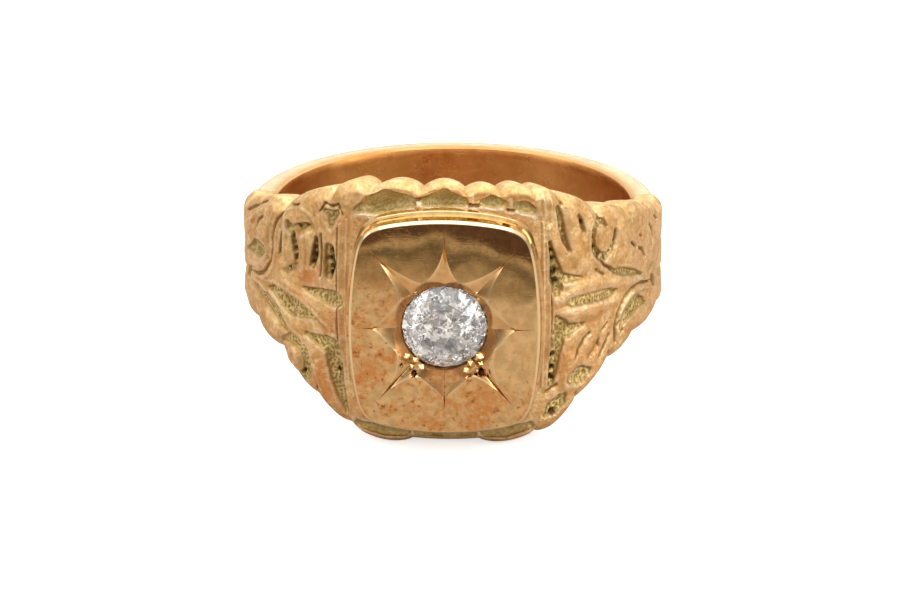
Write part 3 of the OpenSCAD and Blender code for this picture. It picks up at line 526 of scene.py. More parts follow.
def inside(x, along, strokes, beyond=0.8):
    """How far inside the nearest stroke each place lies, in millimetres, negative outside."""
    best = np.full(x.shape, -float(beyond))
    for stroke in strokes:
        for start, end in zip(stroke[:-1], stroke[1:]):
            foot = np.array([start[0] * MM_PER_DEGREE, start[1]])
            head = np.array([end[0] * MM_PER_DEGREE, end[1]])
            run = head - foot
            reach = max(start[2], end[2]) + beyond
            low = np.minimum(foot, head) - reach
            high = np.maximum(foot, head) + reach
            near = (x > low[0]) & (x < high[0]) & (along > low[1]) & (along < high[1])
            dx = x[near] - foot[0]
            dy = along[near] - foot[1]
            share = np.clip((dx * run[0] + dy * run[1]) / (run @ run), 0, 1)
            width = start[2] + (end[2] - start[2]) * share
            distance = np.hypot(dx - run[0] * share, dy - run[1] * share)
            best[near] = np.maximum(best[near], width - distance)
    return best


def mirrored(strokes):
    return [[(-angle, along, width) for angle, along, width in stroke] for stroke in strokes]


def spots(x, along, table):
    """For each row of a table, how far every place is from its spot, and the rest of the row."""
    for angle, spot_along, *rest in table:
        yield np.hypot(x - angle * MM_PER_DEGREE, along - spot_along), rest


# Making pieces

def add_to_scene(name, data):
    item = bpy.data.objects.new(name, data)
    bpy.context.scene.collection.objects.link(item)
    return item


def new_piece(name, points, faces, material):
    """A mesh object of one closed shell, its faces turned outwards."""
    mesh = bpy.data.meshes.new(name)
    mesh.from_pydata(points.tolist(), [], faces)
    mesh.validate()
    shell = bmesh.new()
    shell.from_mesh(mesh)
    bmesh.ops.recalc_face_normals(shell, faces=shell.faces)
    shell.to_mesh(mesh)
    shell.free()
    mesh.materials.append(material)
    return add_to_scene(name, mesh)


def store(piece, name, values):
    """Keeps a number for each point of the mesh, which the piece's material reads."""
    layer = piece.data.attributes.new(name, "FLOAT", "POINT")
    layer.data.foreach_set("value", np.asarray(values, dtype=np.float32).ravel())


def tube_grid(columns, rows, closed=False):
    """Faces of a tube through closed sections: capped at both ends, or closed on itself."""
    c = np.arange(columns if closed else columns - 1)[:, None]
    r = np.arange(rows)[None, :]
    c2 = (c + 1) % columns
    r2 = (r + 1) % rows
    quads = np.stack([c * rows + r, c2 * rows + r, c2 * rows + r2, c * rows + r2], -1)
    faces = quads.reshape(-1, 4).tolist()
    if not closed:
        last = (columns - 1) * rows
        faces += [list(range(rows)), list(range(last + rows - 1, last - 1, -1))]
    return faces


def shade(piece, sharp_over):
    """Smooth shading, with edges kept sharp where the faces turn by more than an angle."""
    piece.data.shade_smooth()
    piece.data.set_sharp_from_angle(angle=math.radians(sharp_over))


# Node trees

def add_node(tree, kind, **settings):
    node = tree.nodes.new(kind)
    for name, value in settings.items():
        setattr(node, name, value)
    return node


def feed(tree, socket, value):
    """Sets a socket to a number or a colour, or links another node's output to it."""
    if isinstance(value, bpy.types.NodeSocket):
        tree.links.new(value, socket)
    else:
        socket.default_value = value


def set_inputs(tree, node, **values):
    for name, value in values.items():
        feed(tree, node.inputs[name.replace("_", " ")], value)
    return node


def new_group(name, setting, default, outputs):
    """A shader node group that takes a place and one setting, with its given sockets and its end."""
    group = bpy.data.node_groups.new(name, "ShaderNodeTree")
    sockets = group.interface
    sockets.new_socket(name="Vector", in_out="INPUT", socket_type="NodeSocketVector")
    number = sockets.new_socket(name=setting, in_out="INPUT", socket_type="NodeSocketFloat")
    number.default_value = default
    for output in outputs:
        sockets.new_socket(name=output, in_out="OUTPUT", socket_type="NodeSocketFloat")
    return group, group.nodes.new("NodeGroupInput").outputs, group.nodes.new("NodeGroupOutput")


def place_group(tree, name, build, **values):
    """Puts a shared node group into a tree, building it the first time, and gives its outputs."""
    group = bpy.data.node_groups.get(name) or build(name)
    node = add_node(tree, "ShaderNodeGroup", node_tree=group)
    return set_inputs(tree, node, **values).outputs


def math_node(tree, operation, first, second):
    node = add_node(tree, "ShaderNodeMath", operation=operation)
    feed(tree, node.inputs[0], first)
    feed(tree, node.inputs[1], second)
    return node.outputs["Value"]


def plus(tree, first, second):
    return math_node(tree, "ADD", first, second)


def minus(tree, first, second):
    return math_node(tree, "SUBTRACT", first, second)


def times(tree, first, second):
    return math_node(tree, "MULTIPLY", first, second)


def vector_node(tree, operation, first, second):
    node = add_node(tree, "ShaderNodeVectorMath", operation=operation)
    feed(tree, node.inputs[0], first)
    feed(tree, node.inputs["Scale" if operation == "SCALE" else 1], second)
    return node.outputs


def spread(tree, value, low, high, to_low=0.0, to_high=1.0, easing="SMOOTHSTEP"):
    """Maps a value's range onto another, held at both ends."""
    node = add_node(tree, "ShaderNodeMapRange", interpolation_type=easing)
    set_inputs(tree, node, Value=value, From_Min=low, From_Max=high, To_Min=to_low, To_Max=to_high)
    return node.outputs["Result"]


def blend_colours(tree, factor, first, second):
    node = add_node(tree, "ShaderNodeMix", data_type="RGBA")
    for slot, value in ((0, factor), (6, first), (7, second)):
        feed(tree, node.inputs[slot], value)
    return node.outputs[2]


def layered(tree, ground, layers):
    """Colours laid over one another, each as far as its mask says."""
    for mask, colour in layers:
        ground = blend_colours(tree, mask, ground, colour)
    return ground


def noise(tree, where, scale, detail=4.0, roughness=0.55, distortion=0.0):
    node = add_node(tree, "ShaderNodeTexNoise")
    set_inputs(
        tree, node, Vector=where, Scale=scale, Detail=detail, Roughness=roughness, Distortion=distortion)
    return node.outputs["Fac"]


def stored(tree, name):
    """A number that the mesh keeps for each of its points."""
    return add_node(tree, "ShaderNodeAttribute", attribute_name=name).outputs["Fac"]


def bump(tree, shader, height, distance, after=None):
    """Relief too fine for the mesh. The distance is what a height of 1 means, in metres."""
    node = add_node(tree, "ShaderNodeBump")
    set_inputs(tree, node, Height=height, Distance=distance, Strength=1.0)
    if after is not None:
        set_inputs(tree, node, Normal=after)
    set_inputs(tree, shader, Normal=node.outputs["Normal"])
    return node.outputs["Normal"]


# Effects that materials share. Their scales are in steps to the metre.

def polishing_marks(name):
    """Fine scratches in crossing directions and small pits, as worn gold has."""
    group, given, out = new_group(name, "Fineness", 1.0, ["Height", "Dullness"])
    scratches = []
    for turn, stretch in ((0.5, (900, 9000, 9000)), (2.0, (9000, 1100, 9000))):
        mapping = add_node(group, "ShaderNodeMapping")
        set_inputs(group, mapping, Vector=given["Vector"], Rotation=(0.2, 0.3, turn), Scale=stretch)
        lines = noise(group, mapping.outputs["Vector"], 1.0, detail=3.0, roughness=0.6)
        scratches.append(spread(group, lines, 0.55, 0.75))
    pits = spread(group, noise(group, given["Vector"], 5200, detail=2.0), 0.62, 0.72)
    marks = plus(group, plus(group, *scratches), pits)
    sunk = times(group, times(group, marks, given["Fineness"]), -1.0)
    clouds = noise(group, given["Vector"], 420, detail=5.0, roughness=0.65)
    set_inputs(group, out, Height=sunk, Dullness=clouds)
    return group


def fire_stain(name):
    """Where the gold has gone reddish, as a mask that breaks up into mottles, and the pin specks
    of dirt in it."""
    group, given, out = new_group(name, "Cover", 0.5, ["Mask", "Specks"])
    patches = noise(group, given["Vector"], 620, detail=3.0, roughness=0.6, distortion=0.4)
    grains = noise(group, given["Vector"], 3600, detail=3.0, roughness=0.65)
    mottles = plus(group, patches, times(group, grains, 0.85))
    limit = minus(group, 1.255, times(group, given["Cover"], 0.6))
    mask = spread(group, minus(group, mottles, limit), -0.08, 0.2)
    set_inputs(group, out, Mask=mask, Specks=spread(group, grains, 0.6, 0.68))
    return group


def soft_tone(name):
    """Slow changes of tone over a hand-worked surface."""
    group, given, out = new_group(name, "Size", 900.0, ["Tone"])
    clouds = noise(group, given["Vector"], given["Size"], roughness=0.6)
    set_inputs(group, out, Tone=spread(group, clouds, 0.36, 0.66))
    return group


def broken_facets(name):
    """Small flat faces, each tilted its own way, as heights."""
    group, given, out = new_group(name, "Size", 4000.0, ["Height"])
    cells = add_node(group, "ShaderNodeTexVoronoi")
    set_inputs(group, cells, Vector=given["Vector"], Scale=given["Size"])
    tilt = vector_node(group, "SUBTRACT", cells.outputs["Color"], (0.5, 0.5, 0.5))["Vector"]
    where = vector_node(group, "SCALE", given["Vector"], given["Size"])["Vector"]
    offset = vector_node(group, "SUBTRACT", where, cells.outputs["Position"])["Vector"]
    set_inputs(group, out, Height=vector_node(group, "DOT_PRODUCT", tilt, offset)["Value"])
    return group


# Materials, each named after its function

def shared_material(build, *settings):
    """The material that a function makes, made once."""
    return bpy.data.materials.get(build.__name__) or build(*settings)


def new_material(name):
    """A new material with its node tree, its shader and the node that gives places in metres."""
    material = bpy.data.materials.new(name)
    material.use_nodes = True
    tree = material.node_tree
    where = add_node(tree, "ShaderNodeTexCoord").outputs["Object"]
    return material, tree, tree.nodes["Principled BSDF"], where


def carved_gold(colours):
    """Gold of the band: satin leaves, matted olive pockets, painted shade with some dirt low down,
    painted highlight on worn crests, and a finger hole painted with warm shade and streaks of
    reflection.
    """
    material, tree, shader, where = new_material("carved_gold")
    marks = place_group(tree, "Polishing marks", polishing_marks, Vector=where, Fineness=0.7)
    stain = place_group(tree, "Fire stain", fire_stain, Vector=where, Cover=0.7)
    tone = place_group(tree, "Soft tone", soft_tone, Vector=where, Size=1300.0)
    streaks = place_group(tree, "Soft tone", soft_tone, Vector=where, Size=330.0)
    grains = noise(tree, where, 4600, roughness=0.7, distortion=0.6)
    matted = stored(tree, "matted")
    bore = stored(tree, "bore")
    crest = stored(tree, "crest")
    share = stored(tree, "stained")
    # The leaves, from their own gold to the dirt in the engraved lines
    leaf = layered(tree, colours.leaf_gold, [
        (tone["Tone"], colours.leaf_shade),
        (times(tree, spread(tree, grains, 0.47, 0.64), 0.55), colours.leaf_grain),
        (times(tree, stain["Mask"], share), colours.stain),
        (times(tree, times(tree, stain["Specks"], share), 0.5), colours.grime),
        (spread(tree, stored(tree, "engraved"), 0.25, 1.0, 0.0, 0.75), colours.grime)])
    ground = layered(tree, colours.pocket, [
        (tone["Tone"], colours.pocket_shade),
        (times(tree, stored(tree, "punched"), 0.85), colours.grime)])
    # Painted shade, with some dirt: low places and hollows darken, less so in the pockets, and so do the
    # pockets' walls
    shallow = minus(tree, 0.75, times(tree, matted, 0.5))
    low = times(tree, stored(tree, "cavity"), shallow)
    wall = times(tree, times(tree, matted, minus(tree, 1.0, matted)), 3.4)
    # The finger hole's gold is painted darker and warmer for its shade, with lighter streaks of painted
    # reflection
    hole = blend_colours(tree, streaks["Tone"], colours.bore, colours.bore_light)
    paint = layered(tree, leaf, [
        (matted, ground),
        (math_node(tree, "MAXIMUM", low, wall), colours.cavity),
        (times(tree, stored(tree, "pit"), 0.95), colours.pit),
        # Painted highlight, with wear, where the carving stands proud
        (times(tree, crest, 0.3), colours.crest),
        (bore, hole)])
    worn = spread(tree, marks["Dullness"], 0.35, 0.7, 0.4, 0.52)
    satin = plus(tree, worn, times(tree, matted, -0.08))
    rough = plus(tree, satin, times(tree, crest, -0.06))
    set_inputs(tree, shader, Base_Color=paint, Roughness=rough, Metallic=1.0)
    worked = times(tree, grains, minus(tree, 1.0, bore))
    grained = bump(tree, shader, worked, 0.05 * MM)
    bump(tree, shader, marks["Height"], 0.009 * MM, after=grained)
    return material


def plate_gold(colours):
    """Gold of the plate: polished, scratched by wear, with reddish stains low on its left, painted
    shade in the bowl round the stone, and a painted highlight on its bevel and on the rays' upper
    walls.
    """
    material, tree, shader, where = new_material("plate_gold")
    marks = place_group(tree, "Polishing marks", polishing_marks, Vector=where, Fineness=1.0)
    stain = place_group(tree, "Fire stain", fire_stain, Vector=where, Cover=0.6)
    tone = place_group(tree, "Soft tone", soft_tone, Vector=where, Size=1900.0)
    share = stored(tree, "stained")
    engraved = stored(tree, "engraved")
    stained = times(tree, stain["Mask"], share)
    paint = layered(tree, colours.plate_gold, [
        (times(tree, tone["Tone"], 0.9), colours.plate_shade),
        (stained, colours.stain),
        (times(tree, engraved, 0.25), colours.stain),
        (times(tree, times(tree, stain["Specks"], share), 0.6), colours.grime),
        # Painted shade in the bowl round the stone and on its seat
        (stored(tree, "bowl"), colours.bowl),
        (stored(tree, "pit"), colours.grime),
        # Painted highlight on the bevel and on the upper part of the rays' walls
        (stored(tree, "bevel"), colours.bevel)])
    # The cuts and the stains are duller than the polished dome
    worn = spread(tree, marks["Dullness"], 0.35, 0.7, 0.02, 0.05)
    satin = plus(tree, worn, times(tree, engraved, 0.2))
    rough = plus(tree, satin, times(tree, stained, 0.16))
    set_inputs(tree, shader, Base_Color=paint, Roughness=rough, Metallic=1.0)
    bump(tree, shader, marks["Height"], 0.0002 * MM)
    return material


def cut_diamond(colours):
    """A clear stone with the white clouds that a heavily included diamond has."""
    material, tree, shader, where = new_material("cut_diamond")
    clouds = noise(tree, where, 1500, detail=5.0, roughness=0.7, distortion=1.2)
    tint = blend_colours(tree, spread(tree, clouds, 0.4, 0.7), colours.stone, colours.stone_cloud)
    set_inputs(tree, shader, Base_Color=tint, Roughness=0.02, IOR=2.2, Transmission_Weight=0.97)
    cracks = place_group(tree, "Broken facets", broken_facets, Vector=where, Size=1500.0)
    bump(tree, shader, cracks["Height"], 0.18 * MM)
    return material


def feather_white(colours):
    """The cleavage faces inside the stone, some bright and some dull. Their glow stands for the
    light that the facets send back through them."""
    material, tree, shader, _ = new_material("feather_white")
    glow = stored(tree, "glow")
    # Painted light: the glow also lightens the flakes' colour from their darker tone to the stone's
    tint = blend_colours(tree, glow, colours.feather_shade, colours.stone)
    set_inputs(
        tree, shader, Base_Color=tint, Roughness=0.14, Metallic=0.8,
        Emission_Color=(1, 0.96, 0.9, 1), Emission_Strength=times(tree, glow, 1.05))
    return material


def pale_floor():
    """White to the camera. What the gold mirrors of it is the duller table top round the ring."""
    material, tree, shader, _ = new_material("pale_floor")
    is_camera = add_node(tree, "ShaderNodeLightPath").outputs["Is Camera Ray"]
    seen = blend_colours(tree, is_camera, (0.5, 0.44, 0.4, 1), (0.95, 0.95, 0.95, 1))
    set_inputs(
        tree, shader, Base_Color=seen, Roughness=0.6,
        Emission_Color=(1, 1, 1, 1), Emission_Strength=times(tree, is_camera, 0.6))
    return material


# The carved band

def punch_marks(x, along):
    """How near each place is to a mark of the matting punch: 1 in its middle, 0 beyond its edge."""
    random = np.random.default_rng(3)
    count = 64
    shift = random.uniform(-PUNCH_STRAY, PUNCH_STRAY, (2, count, count))
    column = np.floor(x / PUNCH_PITCH).astype(int)
    row = np.floor(along / PUNCH_PITCH).astype(int)
    nearest = np.full(x.shape, PUNCH_PITCH)
    for c in (column - 1, column, column + 1):
        for r in (row - 1, row, row + 1):
            mark_x = (c + 0.5 + shift[0, c % count, r % count]) * PUNCH_PITCH
            mark_along = (r + 0.5 + shift[1, c % count, r % count]) * PUNCH_PITCH
            nearest = np.minimum(nearest, np.hypot(x - mark_x, along - mark_along))
    return smooth(1.25 - nearest / (PUNCH_RADIUS * PUNCH_PITCH))


def neighbour_mean(values, columns, rows):
    """Mean height of each place's neighbours, up to a number of columns and rows away."""
    mean = values
    for axis, reach in ((0, columns), (1, rows)):
        margins = [(0, 0), (0, 0)]
        margins[axis] = (reach, reach)
        padded = np.pad(mean, margins, mode="edge")
        count = values.shape[axis]
        steps = [np.take(padded, range(k, k + count), axis=axis) for k in range(2 * reach + 1)]
        mean = sum(steps) / len(steps)
    return mean


def pit_marks(x, along, in_pocket, uneven, punched):
    """How far each place is sunk into a dark pit, whose ragged outline stays in its pocket."""
    pits = np.zeros(x.shape)
    held = smooth(in_pocket / 0.1 + 0.8)
    for distance, (radius,) in spots(x, along, DARK_PITS):
        sunk = smooth(1.6 - (distance + uneven * 3) / radius) * held
        pits = np.maximum(pits, sunk * (0.8 + 0.2 * punched))
    return pits


def stain_marks(x, along):
    """How far each place may be stained: a little everywhere, and more round the spots."""
    stained = np.full(x.shape, STAIN_EVERYWHERE)
    for distance, (radius, strength) in spots(x, along, STAINS):
        stained += strength * np.exp(-((distance / radius) ** 2))
    return np.minimum(stained, 1)


def relief(angle, along, settings):
    """Height of the carving over the plain shoulder, the marks that the band's gold reads, and how
    far each place takes painted shade in a hollow or along a pocket's outline."""
    x = angle * MM_PER_DEGREE
    pockets = list(POCKETS.values()) + list(END_POCKETS.values()) + mirrored(END_POCKETS.values())
    uneven = UNEVEN_LINE * soft_noise(x, along, 7, size=0.6)
    in_pocket = inside(x, along, pockets) + uneven
    in_groove = inside(x, along, GROOVES.values()) + uneven + GROOVE_SPREAD
    in_leaf = inside(x, along, LEAVES.values())
    in_hollow = inside(x, along, HOLLOWS.values())
    in_ridge = inside(x, along, RIDGES.values())
    # A pocket's ground rises to its lower edge
    ground = 0.5 + 0.5 * soft_mask(inside(x, along - GROUND_RISE, pockets), SOFT_BORDER)
    matted = soft_mask(in_pocket, settings.pocket_wall)
    engraved = soft_mask(in_groove, settings.groove_wall)
    clear = smooth(-in_pocket / settings.pocket_wall + 0.3)
    # A leaf's surface swells away from its outline, steeply at first
    away = np.clip(-np.maximum(in_pocket, in_groove), 0, None)
    pillow = settings.pillow * (1 - 0.2 * np.exp(-away / 0.06) - 0.8 * np.exp(-away / 0.4))
    ribs = settings.leaf_height * soft_mask(in_leaf, SOFT_BORDER) * clear
    hollow = settings.hollow_depth * soft_mask(in_hollow, SOFT_BORDER) * clear
    ridges = settings.ridge_height * soft_mask(in_ridge, RIDGE_BORDER) * clear
    hammered = 0.006 * soft_noise(x, along, 11, size=1.3) + 0.004 * soft_noise(x, along, 13, size=0.45)
    # The ground of the pockets over the plate is smoother and evenly dull
    even = smooth((EVEN_END - np.abs(angle)) / EVEN_FADE)
    punched = punch_marks(x, along) * (1 - 0.6 * even) + 0.16 * even
    punched *= smooth(in_pocket / 0.06)
    pits = pit_marks(x, along, in_pocket, uneven, punched)
    height = ribs + ridges + pillow + hammered - hollow
    height -= settings.pocket_depth * ground * matted + settings.groove_depth * engraved * (1 - matted)
    height -= settings.punch_depth * punched
    height -= settings.pit_depth * pits
    marks = {
        "matted": matted,
        "punched": punched,
        "engraved": engraved,
        "stained": stain_marks(x, along),
        "pit": pits,
    }
    # Painted shade along the outlines of the pockets and in the hollows
    outline = smooth(1.2 - np.abs(in_pocket + 0.02) / 0.1)
    shaded = np.maximum(soft_mask(in_hollow, SHADE_BORDER) * clear, 0.85 * outline)
    return height, marks, shaded


def wear_marks(height, step, shaded, highlight_gain):
    """Where the carving lies lower than what is round it, which takes painted shade with some dirt,
    and where it stands proud, which is worn and takes a painted highlight. Deep pockets count as
    shallow ones, so that their borders don't all look proud."""
    near = max(1, round(WEAR_REACH / (step * MM_PER_DEGREE)))
    shallow = np.maximum(height, WEAR_DEPTH)
    stands = np.minimum(
        height - neighbour_mean(height, near, 3), shallow - neighbour_mean(shallow, near, 3))
    low = np.maximum(np.clip(-stands / 0.035 - 0.1, 0, 1), 0.75 * shaded)
    proud = np.clip(stands / 0.03 - 0.1, 0, 1) * highlight_gain
    return {"cavity": low, "crest": proud}


def side_rows(edge_place, side, radius, plain):
    """Places down the band's side, from its outside to the finger hole, as radius and along."""
    start = radius - RIM_DEPTH
    for carved_row, shank_row in zip(CARVED_RIM, SHANK_RIM):
        way = between(carved_row[0], shank_row[0], plain)
        drop = between(carved_row[1], shank_row[1], plain)
        yield start + (FINGER_R - start) * way, edge_place - side * drop


def hole_mark(angle, plain, rows, section):
    """Which rows of the band take the finger hole's painted shade and reflections: all inside it,
    and on the back of the plain shank the side's last rows, where the hole's reflection is painted."""
    mark = np.zeros((len(angle), section))
    mark[:, rows + RIM_ROWS - 2:section - RIM_ROWS + 2] = 1
    back = smooth((np.abs(angle) - BACK_START) / BACK_FADE) * plain
    for row, share in ((rows + 4, 0.3 * plain + 0.7 * back), (rows + 3, 0.25 * back)):
        for side_row in (row, section - 1 - (row - rows)):
            mark[:, side_row] = share
    return mark


def build_band_run(name, first, last, step, settings):
    """One length of the band, as a closed tube of sections round the finger."""
    turns = np.linspace(first, last, round((last - first) / step) + 1)
    angle = np.where(turns > 180, turns - 360, turns)[:, None]
    plain = smooth((np.abs(angle) - SHOULDER_END + STEP_HALF) / (2 * STEP_HALF))
    at_head = smooth((RIMS_END - np.abs(angle)) / RIMS_FADE)
    low = between(edge(angle, BOTTOM_EDGE), -SHANK_HALF, plain)
    high = between(edge(angle, TOP_EDGE), SHANK_HALF, plain)
    radius = between(base_radius(angle), SHANK_R, plain)
    # Rows crowd towards the edges behind the plate, where only the rims show
    rows = np.linspace(0, 1, settings.rows)[None, :]
    crowding = 0.1 + 0.65 * at_head
    spacing = rows - crowding * np.sin(2 * math.pi * rows) / (2 * math.pi)
    along = low + EDGE_INSET + (high - low - 2 * EDGE_INSET) * spacing
    crown_reach = settings.crown_reach * (1 - 0.45 * at_head)
    crown = np.minimum(1, np.minimum(along - low, high - along) / crown_reach)
    carved_fall = settings.rim_round * (1 - crown) ** 2
    shank_fall = SHANK_ROUND * np.abs(2 * (along - low) / (high - low) - 1) ** SHANK_POWER
    height, marks, shaded = relief(angle + 0 * along, along, settings)
    # The painted highlight on proud places is stronger on the rims over the plate
    marks |= wear_marks(height, step, shaded, 1 + 1.4 * at_head)
    fade = smooth(crown * 1.6) * (1 - plain)
    outside = radius - between(carved_fall, shank_fall, plain) + height * fade

    top = list(side_rows(high, 1, radius, plain))
    bottom = list(side_rows(low, -1, radius, plain))[::-1]
    across_hole = np.linspace(0, 1, HOLE_ROWS + 2)[None, 1:-1]
    hole_along = top[-1][1] + (bottom[0][1] - top[-1][1]) * across_hole
    top_radii, top_alongs = zip(*top)
    bottom_radii, bottom_alongs = zip(*bottom)
    radii = np.concatenate([outside, *top_radii, FINGER_R + 0 * hole_along, *bottom_radii], axis=1)
    alongs = np.concatenate([along, *top_alongs, hole_along, *bottom_alongs], axis=1)
    turn = np.radians(angle)
    points = np.stack([radii * np.sin(turn), radii * np.cos(turn), alongs], -1)
    columns, section = alongs.shape
    material = shared_material(carved_gold, bpy.context.scene.ring_colours)
    run = new_piece(name, place(points).reshape(-1, 3), tube_grid(columns, section), material)

    # The plain shank is polished and takes a painted highlight on its outside and the top of its
    # sides, and painted shade down its sides towards the finger hole
    beyond = np.zeros((columns, section - settings.rows))
    painted_side_shade = beyond.copy()
    for row, share in SIDE_SHADE:
        for side_row in (row, -1 - row):
            painted_side_shade[:, side_row] = share * plain[:, 0]
    polish_and_highlight = {"crest": 1.8 * plain}
    beside = {"cavity": 1.33 * painted_side_shade, "crest": 2.2 * plain * (1 - painted_side_shade)}
    for label, values in marks.items():
        outer = values * fade + polish_and_highlight.get(label, 0)
        store(run, label, np.concatenate([outer, beside.get(label, beyond)], axis=1))
    store(run, "bore", hole_mark(angle[:, 0], plain[:, 0], settings.rows, section))
    return run


def bore_light_hole(head):
    """Opens the light hole from the finger hole up to the plate."""
    around = 40
    turns = 2 * math.pi * np.arange(around) / around
    rim = np.stack([LIGHT_HOLE_R * np.cos(turns), 0 * turns, PLATE_MID + LIGHT_HOLE_R * np.sin(turns)], -1)
    ends = [rim + np.array([0, level, 0]) for level in (FINGER_R - 1, HEAD_PLANE + 1)]
    faces = [[i, (i + 1) % around, around + (i + 1) % around, around + i] for i in range(around)]
    faces += [list(range(around - 1, -1, -1)), list(range(around, 2 * around))]
    drill = new_piece("drill", place(np.concatenate(ends)), faces, head.data.materials[0])
    cut = head.modifiers.new("light hole", "BOOLEAN")
    cut.object = drill
    cut.operation = "DIFFERENCE"
    cut.solver = "EXACT"
    evaluated = head.evaluated_get(bpy.context.evaluated_depsgraph_get())
    bored = bpy.data.meshes.new_from_object(evaluated)
    head.modifiers.clear()
    head.data = bored
    bpy.data.objects.remove(drill)


# The table plate and its star

def bowed(direction, reach, bow):
    """Reach of a bowed side from the middle, in a direction measured from its own."""
    back = bow - reach
    return np.sqrt(bow**2 - (back * np.sin(direction)) ** 2) - back * np.abs(np.cos(direction))


def plate_reach(direction):
    """Reach of the plate's outline: two bowed sides and two bowed ends that meet in round corners."""
    across = bowed(direction, PLATE_W / 2, SIDE_BOW)
    along = bowed(math.pi / 2 - direction, PLATE_H / 2, END_BOW)
    return (across**-CORNER_POWER + along**-CORNER_POWER) ** (-1 / CORNER_POWER)


def star_columns(steps):
    """Directions of the plate's columns, close together at the rays, with each one's ray."""
    rows = []
    for i, (ray, *shape) in enumerate(RAYS):
        before = VALLEYS[i - 1]
        after = VALLEYS[i]
        for k in range(-steps, steps):
            share = (abs(k) / steps) ** 2
            valley = after if k >= 0 else before
            gap = (valley[0] - ray + 180) % 360 - 180
            rows.append((ray + gap * share, abs(k) / steps, valley[1], *shape))
    return np.array(rows)


def star_outline(root_share, valley, tip, body, curve):
    """Reach of the star's outline between a ray, at share 0, and the valley beside it. At the tip
    the ray's body runs out into a fine line."""
    back = 1 - root_share
    return valley + (body - valley) * back**curve + (tip - body) * back**12


def star_depth(reach, root_share, valley, tip, body, curve, depth, bowl_depth):
    """Depth of the star under the dome, how far each place takes the painted shade of the bowl round
    the stone, and the upper part of the rays' walls, which take a painted highlight. A ray is a V
    between walls that run to its outline, and the bowl is wider at the rays."""
    middle = depth * np.clip((tip - reach) / (tip - SEAT_R), 0, 1) ** 1.3
    # The share at which the outline reaches just this far, found by halving
    low = np.zeros(np.broadcast(reach, root_share).shape)
    high = np.ones(low.shape)
    for _ in range(20):
        half = (low + high) / 2
        beyond = star_outline(half, valley, tip, body, curve) > reach
        low = np.where(beyond, half, low)
        high = np.where(beyond, high, half)
    across = np.clip(root_share**2 / (high**2 + 1e-6), 0, 1)
    bowl_reach = valley + BOWL_WIDENING * (1 - root_share)
    bowl = bowl_depth * np.clip((bowl_reach - reach) / (bowl_reach - SEAT_R), 0, 1) ** 0.85
    ray = middle * (1 - across)
    shaded = smooth((bowl - ray) / 0.06) * (bowl > 0) * bowl_depth / BOWL_DEPTH
    bright = smooth((across - 0.5) / 0.4) * (ray > bowl)
    return np.maximum(ray, bowl), shaded, bright


def dome_level(reach, direction, settings):
    """Height of the plate's dome, which drops a little to its sides and more to its ends."""
    across = (reach * np.cos(direction) / (PLATE_W / 2)) ** 2
    along = (reach * np.sin(direction) / (PLATE_H / 2)) ** 2
    return PLATE_TOP - settings.side_drop * across - settings.dome_drop * along * (1 + 0.3 * across)


def graver_pits(across, along):
    """Depth of the dark pits beyond the beads, and how far each place lies in one of them."""
    deep = np.zeros(across.shape)
    pitted = np.zeros(across.shape)
    # Pits have ragged outlines, and stay within the star's
    ragged = 1 + 0.35 * soft_noise(across, along, 8, size=0.3)
    for direction, reach, radius, depth in PITS:
        turn = math.radians(direction)
        distance = np.hypot(across - reach * math.cos(turn), along - reach * math.sin(turn))
        pit = smooth(1.5 - distance * ragged / radius)
        pit[:, -1] = 0
        deep += depth * pit
        pitted = np.maximum(pitted, pit)
    return deep, pitted


